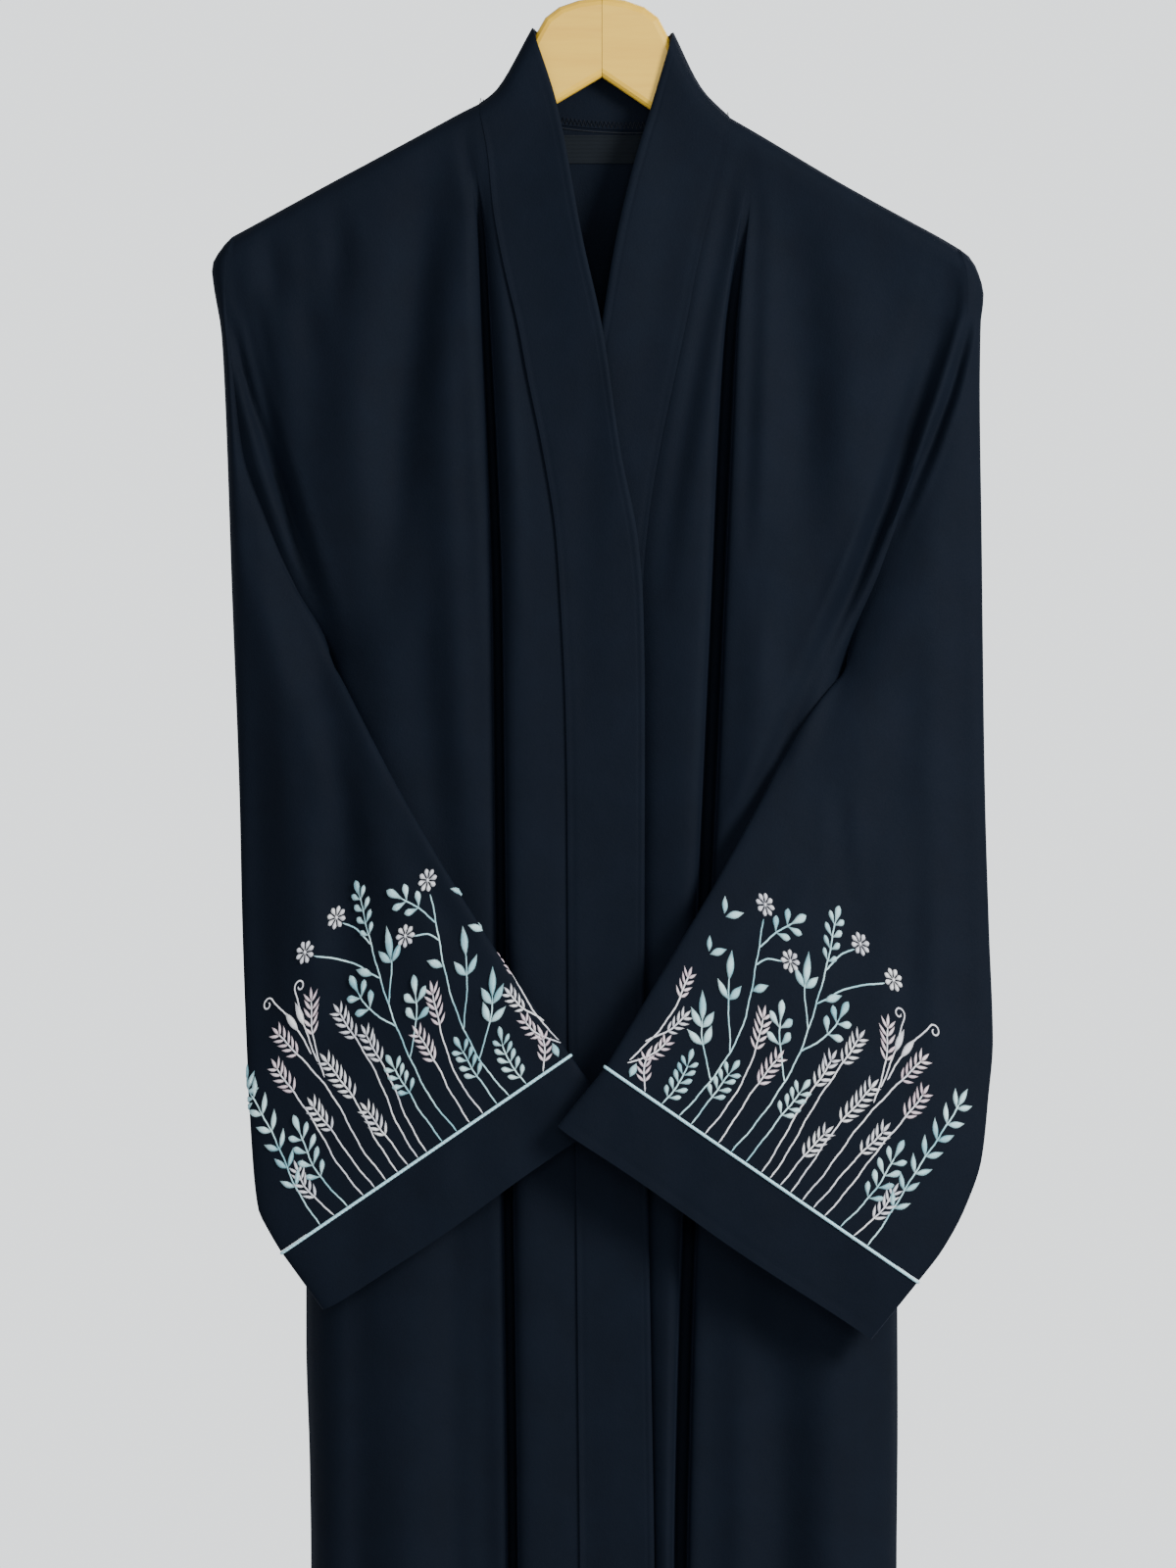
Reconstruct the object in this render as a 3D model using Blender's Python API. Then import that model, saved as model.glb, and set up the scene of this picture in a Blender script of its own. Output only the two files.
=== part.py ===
"""Open-front abaya cloak on a wooden hanger.

Metres, +Z up. The origin is the point inside the top of the hanger's hook that rests on a rail.
The front faces -Y and +X is to the right as seen from the front; left and right below are the viewer's.
Each cut piece of cloth is one wall, lofted through sections that are worked out from the tables.
"""

import math

import bmesh
import bpy
import numpy as np
from mathutils import Vector
from mathutils.bvhtree import BVHTree

# ---------------------------------------------------------------- driving dimensions
CLOTH = 0.0011  # one layer of cloth
DOUBLE = 0.0022  # the folded front band, two layers and their interlining
CUFF_WALL = 0.0016  # the faced cuff
SEAM = 0.0003  # gap between pieces at a seam
HALF_SEAM = SEAM / 2
SLEEVE_SEAM = 0.00036  # the armhole runs at a slant, so its gap is a little wider across
HEM_Z = -1.524  # 1.40 m below the neck point
FRAME_LENGTH = 1.309  # shoulder tip to hem, the length that ROW_DROPS is measured on
ARM_HALF = 0.0055  # half the thickness of the hanger's wood
ROLL = 0.0090  # radius at which cloth turns over the hanger's arm
ROW_DROPS = (
    0, 0.0015, 0.004, 0.008, 0.014, 0.024, 0.040, 0.062, 0.088, 0.116, 0.144, 0.172, 0.200, 0.224, 0.240,
    0.262, 0.300, 0.350, 0.420, 0.510, 0.620, 0.760, 0.920, 1.100, FRAME_LENGTH,
)
FRACTIONS = [drop / FRAME_LENGTH for drop in ROW_DROPS]
UNDERARM_ROW = 14  # the row at which the armhole ends
UNDERARM_DROP = ROW_DROPS[UNDERARM_ROW]
SIDES = {"left": -1, "right": 1}


def table(columns, *rows):
    """A table with named columns."""
    return {name: [row[i] for row in rows] for i, name in enumerate(columns.split())}


# In every table "out" is the distance outwards from the centre line, and z the height.
SHOULDER = {  # shoulder seam, from the neck point to the shoulder tip
    "left": table("out z", (0.071, -0.122), (0.083, -0.128), (0.106, -0.141), (0.146, -0.162),
    (0.190, -0.186), (0.212, -0.198)),
    "right": table("out z", (0.074, -0.130), (0.093, -0.141), (0.128, -0.162), (0.171, -0.186),
    (0.195, -0.199), (0.205, -0.205)),
}
NECK_TIP = {"left": (0.040, -0.078), "right": (0.041, -0.0806)}  # where the band's free edge crosses the hanger
NECK_MID = {"left": (0.061, -0.114), "right": (0.0575, -0.113)}  # the band's middle, on the hanger
BACK_NECK_DROP = 0.010  # the back neck seam dips this far at its centre
PANEL_EDGE = {  # outer edge of a front or back panel: the armhole, then the side seam
    "left": table(
        "z out", (-0.198, 0.212), (-0.212, 0.215), (-0.235, 0.2155), (-0.260, 0.2130), (-0.295, 0.2095),
        (-0.325, 0.205),
        (-0.353, 0.195), (-0.376, 0.186), (-0.400, 0.175), (-0.438, 0.156), (-0.500, 0.158), (-0.600, 0.163),
        (-0.717, 0.1695), (-0.830, 0.1696), (-0.900, 0.1676), (-0.962, 0.1668), (HEM_Z, 0.173),
    ),
    "right": table(
        "z out", (-0.205, 0.205), (-0.220, 0.209), (-0.237, 0.2095), (-0.254, 0.206), (-0.272, 0.201),
        (-0.303, 0.191),
        (-0.333, 0.180), (-0.388, 0.160), (-0.446, 0.140), (-0.500, 0.147), (-0.600, 0.158),
        (-0.760, 0.1690), (-0.880, 0.1696), (-0.962, 0.1690), (HEM_Z, 0.176),
    ),
}
FOLD = {  # the deep fold beside the front band: its place, half width and depth
    "left": table(
        "z out half depth", (-0.126, 0.0800, 0.0012, 0), (-0.162, 0.0735, 0.0018, 0),
        (-0.200, 0.0690, 0.0028, 0.009),
        (-0.250, 0.0665, 0.0034, 0.016), (-0.321, 0.0630, 0.0038, 0.019), (-0.408, 0.0600, 0.0040, 0.020),
        (-0.658, 0.0570, 0.0040, 0.020), (-0.717, 0.0545, 0.0040, 0.020), (-0.962, 0.0510, 0.0040, 0.020),
        (HEM_Z, 0.0470, 0.0045, 0.020),
    ),
    "right": table(
        "z out half depth", (-0.133, 0.0880, 0.0012, 0), (-0.170, 0.0835, 0.0022, 0),
        (-0.213, 0.0776, 0.0036, 0.010),
        (-0.249, 0.0737, 0.0044, 0.016), (-0.321, 0.0698, 0.0050, 0.019), (-0.397, 0.0665, 0.0050, 0.020),
        (-0.523, 0.0610, 0.0052, 0.021), (-0.658, 0.0550, 0.0052, 0.021), (-0.760, 0.0500, 0.0052, 0.021),
        (-0.875, 0.0465, 0.0052, 0.021), (-0.962, 0.0450, 0.0050, 0.021), (HEM_Z, 0.0440, 0.0050, 0.020),
    ),
}
BAND = {  # the front band's sewn edge and its free edge
    "left": table(
        "z sewn", (-0.122, 0.0710), (-0.150, 0.0655), (-0.180, 0.0625), (-0.213, 0.0565), (-0.250, 0.0478),
        (-0.276, 0.0430),
        (-0.321, 0.0338), (-0.367, 0.0265), (-0.408, 0.0236), (-0.466, 0.0208), (-0.523, 0.0197),
        (-0.658, 0.0190),
        (-0.717, 0.0152), (-0.847, 0.0135), (-0.962, 0.0124), (HEM_Z, 0.0100),
    ),
    "right": table(
        "z sewn", (-0.130, 0.0740), (-0.154, 0.0700), (-0.176, 0.0640), (-0.213, 0.0550), (-0.249, 0.0480),
        (-0.275, 0.0425),
        (-0.321, 0.0330), (-0.362, 0.0265), (-0.397, 0.0235), (-0.466, 0.0225), (-0.658, 0.0225),
        (-0.760, 0.0240),
        (-0.875, 0.0262), (-0.962, 0.0275), (HEM_Z, 0.0300),
    ),
}
BAND_FREE = {
    "left": table(
        "z out", (-0.078, 0.0400), (-0.1216, 0.0259), (-0.200, 0.0109), (-0.249, 0.0), (-0.321, -0.0107),
        (-0.373, -0.0208),
        (-0.408, -0.0236), (-0.466, -0.0246), (-0.658, -0.0242), (-0.748, -0.0264), (-0.875, -0.0287),
        (-0.962, -0.0300), (HEM_Z, -0.0325),
    ),
    "right": table(
        "z out", (-0.0806, 0.0410), (-0.124, 0.0280), (-0.157, 0.0180), (-0.200, 0.0079), (-0.247, 0.0),
        (-0.300, -0.0090),
        (-0.360, -0.0180), (-0.410, -0.0205), (-0.470, -0.0210), (-0.658, -0.0210), (-0.748, -0.0190),
        (-0.875, -0.0170), (-0.962, -0.0150), (HEM_Z, -0.0130),
    ),
}
# How far forward the outer faces stand, by the drop below the shoulder line.
FORWARD = {
    "left": table(
        "drop panel crest seam band", (0, 0.0086, 0.0086, 0.0087, 0.0090),
        (0.035, 0.0088, 0.0088, 0.0090, 0.0094),
        (0.080, 0.0130, 0.0140, 0.0140, 0.0152), (0.130, 0.0180, 0.0210, 0.0200, 0.0220),
        (0.200, 0.0230, 0.0290, 0.0275, 0.0292),
        (0.290, 0.0265, 0.0345, 0.0325, 0.0340), (0.400, 0.0280, 0.0355, 0.0335, 0.0350),
        (FRAME_LENGTH + 0.1, 0.0280, 0.0355, 0.0335, 0.0350),
    ),
    "right": table(
        "drop panel crest seam band", (0, 0.0086, 0.0086, 0.0087, 0.0090),
        (0.035, 0.0088, 0.0088, 0.0090, 0.0094),
        (0.080, 0.0130, 0.0140, 0.0138, 0.0148), (0.130, 0.0180, 0.0210, 0.0190, 0.0202),
        (0.200, 0.0230, 0.0290, 0.0235, 0.0240),
        (0.290, 0.0265, 0.0340, 0.0272, 0.0276), (0.400, 0.0280, 0.0350, 0.0280, 0.0285),
        (FRAME_LENGTH + 0.1, 0.0280, 0.0350, 0.0280, 0.0285),
    ),
}
BACKWARD = table("drop panel", (0, 0.0086), (0.035, 0.0088), (0.090, 0.0120), (0.160, 0.0165),
(0.300, 0.0205), (FRAME_LENGTH + 0.1, 0.0215))
SIDE_ROUND = table("z share", (-0.190, 0.20), (-0.330, 0.30), (-0.440, 0.55), (-0.520, 0.50), (-0.650, 0.26),
(-0.800, 0.20), (HEM_Z, 0.20))
ARMHOLE_HALF = 0.0086  # half the armhole's opening from front to back

SLEEVE_OUTER = {  # outline of the sleeve, from the shoulder tip down to the cuff
    "left": table(
        "z out", (-0.198, 0.2125), (-0.206, 0.2195), (-0.216, 0.2240), (-0.227, 0.2228), (-0.253, 0.2185),
        (-0.287, 0.2165),
        (-0.325, 0.2150), (-0.400, 0.2125), (-0.523, 0.2079), (-0.587, 0.2064), (-0.662, 0.2036),
        (-0.720, 0.2005),
        (-0.754, 0.1970), (-0.769, 0.1900), (-0.779, 0.1840),
    ),
    "right": table(
        "z out", (-0.205, 0.2060), (-0.2095, 0.2110), (-0.217, 0.2155), (-0.232, 0.2192), (-0.248, 0.2175),
        (-0.287, 0.2170), (-0.366, 0.2180),
        (-0.456, 0.2190), (-0.523, 0.2200), (-0.596, 0.2220), (-0.659, 0.2240), (-0.692, 0.2212),
        (-0.726, 0.2174),
        (-0.754, 0.2079), (-0.779, 0.1943), (-0.7955, 0.1815),
    ),
}
SLEEVE_INNER = {  # the sleeve's inner edge, from the underarm to the cuff
    "left": table("z out", (-0.438, 0.156), (-0.470, 0.1400), (-0.523, 0.112), (-0.602, 0.064),
    (-0.640, 0.038), (-0.666, 0.019)),
    "right": table("z out", (-0.446, 0.140), (-0.470, 0.1200), (-0.500, 0.1020), (-0.523, 0.090),
    (-0.570, 0.064), (-0.6335, 0.026), (-0.6724, 0.0029)),
}
SLEEVE_DEPTH = {  # from the underarm (share 0) to the piping (share 1): how far forward each edge is, and half depths
    "left": table(
        "share outer inner front back", (0, 0, 0.0010, 0.0169, 0.0070), (0.10, 0.0030, 0.0150, 0.0135, 0.0058),
        (0.25, 0.0090, 0.0280, 0.0097, 0.0055), (0.50, 0.0190, 0.0430, 0.0075, 0.0055),
        (0.75, 0.0310, 0.0470, 0.0068, 0.0058),
        (1, 0.0410, 0.0475, 0.0068, 0.0058),
    ),
    "right": table(
        "share outer inner front back", (0, 0, 0.0010, 0.0169, 0.0070), (0.10, 0.0030, 0.0150, 0.0135, 0.0058),
        (0.25, 0.0090, 0.0280, 0.0097, 0.0055), (0.50, 0.0200, 0.0450, 0.0075, 0.0055),
        (0.75, 0.0365, 0.0555, 0.0070, 0.0058),
        (1, 0.0500, 0.0628, 0.0070, 0.0060),
    ),
}
SLEEVE_BULGE = table(
    "share front back", (0, 0, 0), (0.10, 0.0004, 0.0002), (0.30, 0.0020, 0.0010), (0.60, 0.0058, 0.0028),
    (1, 0.0092, 0.0044),
)
DEPTHS = ("outer", "inner", "front", "back")
KEEP_FRONT, KEEP_BACK = 0.90, 0.30  # shares of the armhole's half opening that the tube keeps as it closes
OUTER_LEAD = 1.12  # the sleeve's rows reach further down on its outer side than at the armhole,
OUTER_START = 0.008  # and start off down it beside the shoulder
SLEEVE_SHARES = (0.006, 0.015, 0.028, 0.045, 0.068, 0.10, 0.15, 0.22, 0.31, 0.42, 0.54, 0.66, 0.78, 0.89, 1)
AROUND = 20  # squares round a sleeve
FLAT = 0.30  # power of the flattened tube's profile: 0.5 is an ellipse and less is flatter
ROUND = 0.50  # the same where the sleeve is narrow, beside the shoulder
OPEN = 1.20  # the same beside the armhole's edge, where the sleeve leaves the panel smoothly
REST = 0.0026  # clear space where one piece lies on another
HOLLOW = 0.0062  # least distance between a sleeve's two outer faces where it lies on the body
CUFF = {  # corners of the cuff: (out, z) at its outer and inner ends, at the piping and at the hem
    "left": {"piping": ((0.184, -0.779), (0.019, -0.666)), "hem": ((0.158, -0.815), (-0.0067, -0.702))},
    "right": {"piping": ((0.1815, -0.7955), (0.0029, -0.6724)), "hem": ((0.1536, -0.830), (-0.0259, -0.708))},
}
PIPING = 0.0026  # diameter of the piping cord
CUFF_ROWS = (0, 0.3, 0.65, 1)

# Soft folds: where each is at its top and bottom, its half width, and its rise (+ forward) at the middle of its run.
FRONT_FOLDS = {
    "left": table(
        "top_z top_out foot_z foot_out half rise", (-0.140, 0.094, -0.420, 0.126, 0.012, -0.0045),
        (-0.180, 0.150, -0.360, 0.172, 0.012, -0.0022),
        (-0.225, 0.203, -0.420, 0.166, 0.0065, -0.0060), (-0.600, 0.110, -1.900, 0.120, 0.022, 0.0040),
        (-0.500, 0.085, -1.900, 0.078, 0.009, -0.0025),
        (-0.760, 0.140, -1.900, 0.146, 0.010, -0.0030),
    ),
    "right": table(
        "top_z top_out foot_z foot_out half rise", (-0.206, 0.196, -0.430, 0.140, 0.0075, -0.0080),
        (-0.160, 0.118, -0.420, 0.122, 0.014, -0.0025),
        (-0.560, 0.098, -1.900, 0.102, 0.014, -0.0035), (-0.620, 0.128, -1.900, 0.134, 0.016, 0.0040),
        (-0.800, 0.070, -1.900, 0.072, 0.008, -0.0025),
    ),
}
BACK_FOLDS = table(  # "at" is the share of the back's width, from its left edge
    "top_z top_at foot_z foot_at half rise", (-0.150, 0.30, -1.900, 0.24, 0.017, -0.0095),
    (-0.150, 0.69, -1.900, 0.77, 0.016, -0.0085),
    (-0.300, 0.42, -1.900, 0.40, 0.022, 0.0060), (-0.260, 0.56, -1.900, 0.57, 0.015, -0.0070),
    (-0.420, 0.67, -1.900, 0.67, 0.018, 0.0055),
    (-0.620, 0.13, -1.900, 0.12, 0.014, -0.0045), (-0.560, 0.48, -1.900, 0.470, 0.013, -0.0050),
    (-0.700, 0.88, -1.900, 0.885, 0.013, -0.0040),
)
SLEEVE_FOLDS = {  # across the sleeve (0 outer edge, 1 inner edge) and down it (0 underarm, 1 piping)
    "left": table("top_share top_across foot_share foot_across half rise", (-0.2, 0.55, 0.75, 0.42, 0.11, -0.0035),
    (0.1, 0.80, 0.9, 0.72, 0.08, 0.0020)),
    "right": table("top_share top_across foot_share foot_across half rise", (-0.2, 0.50, 0.70, 0.50, 0.12, -0.0030),
    (0.3, 0.22, 1.1, 0.16, 0.08, 0.0022)),
}

LABEL_SIZE = (0.050, 0.016)
LABEL_TOP = -0.1395
LABEL_THICK = 0.0006

HOOK_WIRE = 0.0034
HOOK_RADIUS = 0.0200  # inside the hook
WOOD_TOP = -0.0605
NOTCH_Z = -0.1064
WOOD_DEPTH = 0.0200  # of an arm, square to the shoulder
WOOD_REACH = 0.0040  # the arm goes on past the shoulder tip
WOOD_BEVEL = 0.0042


# ---------------------------------------------------------------- curves
def smooth(xs, ys, x):
    """Value at x of a smooth curve through the points that never overshoots them."""
    order = np.argsort(xs)
    xs, ys = np.asarray(xs, float)[order], np.asarray(ys, float)[order]
    steps = np.diff(xs)
    slopes = np.diff(ys) / steps
    tangents = np.concatenate([slopes[:1], np.zeros(len(xs) - 2), slopes[-1:]])
    rising = slopes[:-1] * slopes[1:] > 0
    harmonic = 2 * slopes[:-1] * slopes[1:] / np.where(rising, slopes[:-1] + slopes[1:], 1)
    tangents[1:-1] = np.where(rising, harmonic, 0)
    x = float(np.clip(x, xs[0], xs[-1]))
    i = int(np.clip(np.searchsorted(xs, x) - 1, 0, len(steps) - 1))
    t = (x - xs[i]) / steps[i]
    return float(
        ys[i] * (2 * t**3 - 3 * t**2 + 1)
        + ys[i + 1] * (3 * t**2 - 2 * t**3)
        + steps[i] * (tangents[i] * (t**3 - 2 * t**2 + t) + tangents[i + 1] * (t**3 - t**2))
    )


def read(rows, column, at, key="z"):
    """A table's column at that value of its key column."""
    return smooth(rows[key], rows[column], at)


def mix(a, b, share):
    """The value that share of the way from a to b."""
    return a + (b - a) * share


def over_the_arm(drop):
    """How far round the hanger's arm the cloth has turned, from 0 on top to 1 where it hangs free."""
    return math.sqrt(max(0.0, 1 - (1 - min(drop / ROLL, 1)) ** 2))


def soft_folds(rows, across, along, keys=("top_z", "top_out", "foot_z", "foot_out")):
    """Forward rise of a piece at a point: each fold is a smooth hump along a straight line, fading at its ends."""
    top_key, top_at, foot_key, foot_at = keys
    total = 0.0
    for i in range(len(rows["half"])):
        run = (along - rows[top_key][i]) / (rows[foot_key][i] - rows[top_key][i])
        if 0 < run < 1:
            line = mix(rows[top_at][i], rows[foot_at][i], run)
            hump = math.exp(-(((across - line) / rows["half"][i]) ** 2))
            total += rows["rise"][i] * hump * math.sin(math.pi * run) ** 0.5
    return total


def through(points, counts):
    """Points along a smooth curve through the given ones, with counts squares between each two."""
    points = [np.asarray(p, float) for p in points]
    ends = [2 * points[0] - points[1], *points, 2 * points[-1] - points[-2]]
    found = []
    for i, count in enumerate(counts):
        before, start, end, after = ends[i : i + 4]
        reach = np.linalg.norm(end - start)
        leave = (end - before) * reach / max(np.linalg.norm(end - start) + np.linalg.norm(start - before), 1e-9)
        arrive = (after - start) * reach / max(np.linalg.norm(after - end) + np.linalg.norm(end - start), 1e-9)
        for t in np.arange(count) / count:
            found.append(
                start * (2 * t**3 - 3 * t**2 + 1) + leave * (t**3 - 2 * t**2 + t)
                + end * (3 * t**2 - 2 * t**3) + arrive * (t**3 - t**2)
            )
    return [*found, points[-1]]


# ---------------------------------------------------------------- the panels' points
def shoulder_z(side, out):
    """Height of the shoulder seam."""
    return read(SHOULDER[side], "z", out, "out")


def armhole_half(fraction):
    """How far the armhole's edge stands from the plane of the shoulder seam, on this row."""
    drop = fraction * FRAME_LENGTH
    share = min(drop / UNDERARM_DROP, 1)
    return HALF_SEAM + ARMHOLE_HALF * over_the_arm(drop) * math.sqrt(1 - share**5)


FRONT_COUNTS = (1, 2, 3, 3, 3, 1, 1, 1, 1, 1, 1, 1, 2, 1)


def front_controls(side, fraction):
    """(out, forward) of the points that a row of a front panel passes through, from its outer edge to the band."""
    tip_z, neck_z = SHOULDER[side]["z"][-1], SHOULDER[side]["z"][0]
    edge_z = mix(tip_z, HEM_Z, fraction)
    fold_z = mix(FOLD[side]["z"][0], HEM_Z, fraction)
    seam_z = mix(neck_z, HEM_Z, fraction)
    drop = fraction * FRAME_LENGTH
    edge = read(PANEL_EDGE[side], "out", edge_z)
    fold = read(FOLD[side], "out", fold_z)
    seam = read(BAND[side], "sewn", seam_z)
    half = read(FOLD[side], "half", fold_z)
    depth = read(FOLD[side], "depth", fold_z)
    panel, crest, sewn = (
        read(FORWARD[side], name, drop, "drop") for name in ("panel", "crest", "seam")
    )
    start = armhole_half(fraction)
    share = read(SIDE_ROUND, "share", edge_z)
    span = edge - fold
    lip = min(0.007, 0.1 * span)
    roll = fold - half - seam
    near, rise = 0.12, panel - start
    return [
        (edge, start),
        (edge - 0.16 * share * span, start + 0.38 * rise),
        (edge - 0.50 * share * span, start + 0.74 * rise),
        (edge - share * span, start + 0.95 * rise),
        (mix(edge - share * span, fold + half + lip, 0.5), panel),
        (fold + half + lip, panel),
        (fold + half, panel - near * depth),
        (fold + 0.8 * half, panel - 0.55 * depth),
        (fold + 0.45 * half, panel - 0.92 * depth),
        (fold - 0.45 * half, panel - 0.92 * depth),
        (fold - 0.8 * half, mix(crest, panel - depth, 0.55)),
        (fold - half, mix(crest, panel - depth, near)),
        (fold - half - min(0.006, 0.25 * roll), crest),
        (mix(fold - half, seam, 0.72), mix(crest, sewn, 0.45)),
        (seam, sewn),
    ]


def row_points(side, fraction, controls, tops, counts):
    """A row's points in the frame: the controls' curve, each point hung below its own place on the top edge."""
    flat = [(out, forward, mix(top, HEM_Z, fraction)) for (out, forward), top in zip(controls, tops)]
    return through(flat, counts)


def front_panel(side):
    """Rows of points of a front panel's outer face, from the shoulder seam to the hem."""
    start = front_controls(side, 0)
    tops = [shoulder_z(side, out) for out, _ in start]
    top_row = row_points(side, 0, start, tops, FRONT_COUNTS)
    rows = []
    for fraction in FRACTIONS:
        row = []
        line = row_points(side, fraction, front_controls(side, fraction), tops, FRONT_COUNTS)
        for column, (out, forward, z) in enumerate(line):
            drop = top_row[column][2] - z
            inside = min(column, 2) / 2  # the edges stay on their seams
            forward += inside * soft_folds(FRONT_FOLDS[side], out, z) * min(drop / 0.06, 1)
            if column:
                forward = HALF_SEAM + (forward - HALF_SEAM) * over_the_arm(drop)
            row.append(Vector((SIDES[side] * out, -forward, z)))
        rows.append(row)
    return rows


# Columns of the back, from an edge to the neck point, and on round the neck.
BACK_SHARES = (0, 0.010, 0.028, 0.055, 0.082, 0.109, 0.136, 0.163, 0.190, 0.217, 0.244, 0.272, 0.30)


def back_neck(share):
    """Point of the back neck seam, from the left neck point (0) to the right one (1)."""
    left, right = -SHOULDER["left"]["out"][0], SHOULDER["right"]["out"][0]
    x = mix(left, right, share)
    z = mix(SHOULDER["left"]["z"][0], SHOULDER["right"]["z"][0], share)
    z -= BACK_NECK_DROP * math.sin(math.pi * share) ** 0.7
    inside = min(share, 1 - share) * (right - left)
    return x, HALF_SEAM + (BACKWARD["panel"][0] + 0.0006) * over_the_arm(inside), z


NECK_COLUMNS = (0, 0.02, 0.06, 0.13, 0.22, 0.31, 0.405, 0.5, 0.595, 0.69, 0.78, 0.87, 0.94, 0.98, 1)


def back_top():
    """(x, backward, z, inside) of the back panel's top edge, from the left shoulder tip to the right one."""
    points = []
    neck = BACK_SHARES[-1]
    for side in SIDES:
        tip, start = SHOULDER[side]["out"][-1], SHOULDER[side]["out"][0]
        found = []
        for share in BACK_SHARES[:-1]:
            out = mix(tip, start, share / neck)
            found.append((SIDES[side] * out, HALF_SEAM, shoulder_z(side, out), 0.0))
        points.append(found)
    middle = []
    for share in NECK_COLUMNS:
        x, back, z = back_neck(share)
        middle.append((x, back, z, 1.0))
    return [*points[0], *middle, *reversed(points[1])]


def back_panel():
    """Rows of points of the back's outer face, from its top edge to the hem."""
    top = back_top()
    left_tip, right_tip = top[0][0], top[-1][0]
    rows = []
    for fraction in FRACTIONS:
        row = []
        edges = {side: read(PANEL_EDGE[side], "out", mix(SHOULDER[side]["z"][-1], HEM_Z, fraction)) for side in SIDES}
        for column, (x, back, top_z, neck) in enumerate(top):
            at = (x - left_tip) / (right_tip - left_tip)
            z = mix(top_z, HEM_Z, fraction)
            drop = top_z - z
            turned = over_the_arm(drop)
            place = mix(-edges["left"], edges["right"], at)
            start = armhole_half(fraction)
            from_edge = min(at, 1 - at) / (0.5 * read(SIDE_ROUND, "share", z))
            rounded = math.sin(math.pi / 2 * min(from_edge, 1)) ** 0.8
            out = start + (read(BACKWARD, "panel", drop, "drop") - start) * rounded
            folds = soft_folds(SCALED_BACK_FOLDS, at * BACK_WIDTH, z, ("top_z", "top_at", "foot_z", "foot_at"))
            out += folds * min(drop / 0.06, 1) * min(from_edge, 1)
            out = mix(back, out, turned) if neck or column not in (0, len(top) - 1) else start
            row.append(Vector((place, out, z)))
        rows.append(row)
    return rows


BACK_WIDTH = 0.34  # the back's width where it hangs free, which the folds' half widths are measured on
SCALED_BACK_FOLDS = {
    **BACK_FOLDS,
    "top_at": [at * BACK_WIDTH for at in BACK_FOLDS["top_at"]],
    "foot_at": [at * BACK_WIDTH for at in BACK_FOLDS["foot_at"]],
}


# ---------------------------------------------------------------- the front band's points
def band_row(side, fraction, across):
    """Points across a front band on this row, from its sewn edge to its free edge."""
    neck = (SHOULDER[side]["out"][0], SHOULDER[side]["z"][0])
    tops = (neck, NECK_MID[side], NECK_TIP[side])
    drop = fraction * FRAME_LENGTH
    sewn_z, free_z = mix(neck[1], HEM_Z, fraction), mix(NECK_TIP[side][1], HEM_Z, fraction)
    sewn = read(BAND[side], "sewn", sewn_z) - SEAM
    free = read(BAND_FREE[side], "out", free_z)
    forward = read(FORWARD[side], "band", drop, "drop")
    bend = min(drop / 0.10, 1)  # on the hanger the band follows the neck's curve, and below it lies straight
    hollow = (NECK_MID[side][0] - mix(neck[0], NECK_TIP[side][0], 0.4)) * (1 - bend)
    found = []
    for share in across:
        top_out, top_z = (smooth((0, 0.4, 1), [t[i] for t in tops], share) for i in (0, 1))
        z = mix(top_z, HEM_Z, fraction)
        out = mix(sewn, free, share) + hollow * 4 * share * (1 - share)
        if fraction == 0:
            out = top_out - SEAM * (share == 0)
        turned = over_the_arm(top_z - z)
        found.append(Vector((SIDES[side] * out, -(HALF_SEAM + (forward - HALF_SEAM) * turned), z)))
    return found


BAND_ACROSS = (0, 0.06, 0.4, 0.7, 0.94, 1)


def neck_band():
    """Rows of points of the band behind the neck, from the left shoulder to the right, sewn edge to free edge."""
    rows = []
    crossing = {side: band_row(side, 0, BAND_ACROSS) for side in SIDES}
    for share in NECK_COLUMNS:
        inside = min(share, 1 - share)
        row = []
        for column, across in enumerate(BAND_ACROSS):
            start, end = crossing["left"][column], crossing["right"][column]
            level = mix(start.z, end.z, share)
            dip = BACK_NECK_DROP * math.sin(math.pi * share) ** 0.7
            out = mix(start.x, end.x, share)
            length = abs(end.x - start.x)
            turned = over_the_arm(inside * length)
            backward = HALF_SEAM + (ROLL - HALF_SEAM + 0.0002 + 0.0014 * across * math.sin(math.pi * share)) * turned
            row.append(Vector((out, backward, level - dip + SEAM * (across == 0))))
        rows.append(row)
    return rows


# ---------------------------------------------------------------- the sleeves' points
def loop_points(closing=1.0):
    """(across, layer) round a sleeve: from its inner edge (1) over the front layer (-1) to its outer edge (0), and back.

    The points crowd together at a folded edge. Beside an open armhole (closing 0) they're evenly spaced.
    """
    shares = []
    for i in range(AROUND // 2 + 1):
        even = i / (AROUND / 2)
        crowded = (1 - math.cos(math.pi * even)) / 2
        shares.append(crowded if even < 0.5 else mix(even, crowded, closing))
    return [(1 - share, -1) for share in mirrored(shares)] + [(share, 1) for share in shares[1:]]


def mirrored(shares):
    """The same spacing counted from the other end."""
    return [1 - share for share in reversed(shares)]


def loop_height(across, outer=FLAT, inner=FLAT):
    """Shape of the flattened tube: 0 at its outer edge (0) and its inner edge (1), and 1 in the middle."""
    return (4 * across * (1 - across)) ** (outer if across < 0.5 else inner)


def rest_on_front(side, ring):
    """Moves a ring of sleeve or cuff points forward where it would go into the front panel or its bands."""
    half = len(ring) // 2
    for i, (across, _) in enumerate(loop_points()[: half + 1]):
        front, back = ring[i], ring[-1 - i]
        behind = front_surface(side, back)
        back.y = min(back.y, behind - REST)
        hollow = HOLLOW * min(1, loop_height(across) * 1.15)
        front.y = min(front.y, back.y - hollow)
    ring[-1].y = ring[0].y
    return ring


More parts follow.
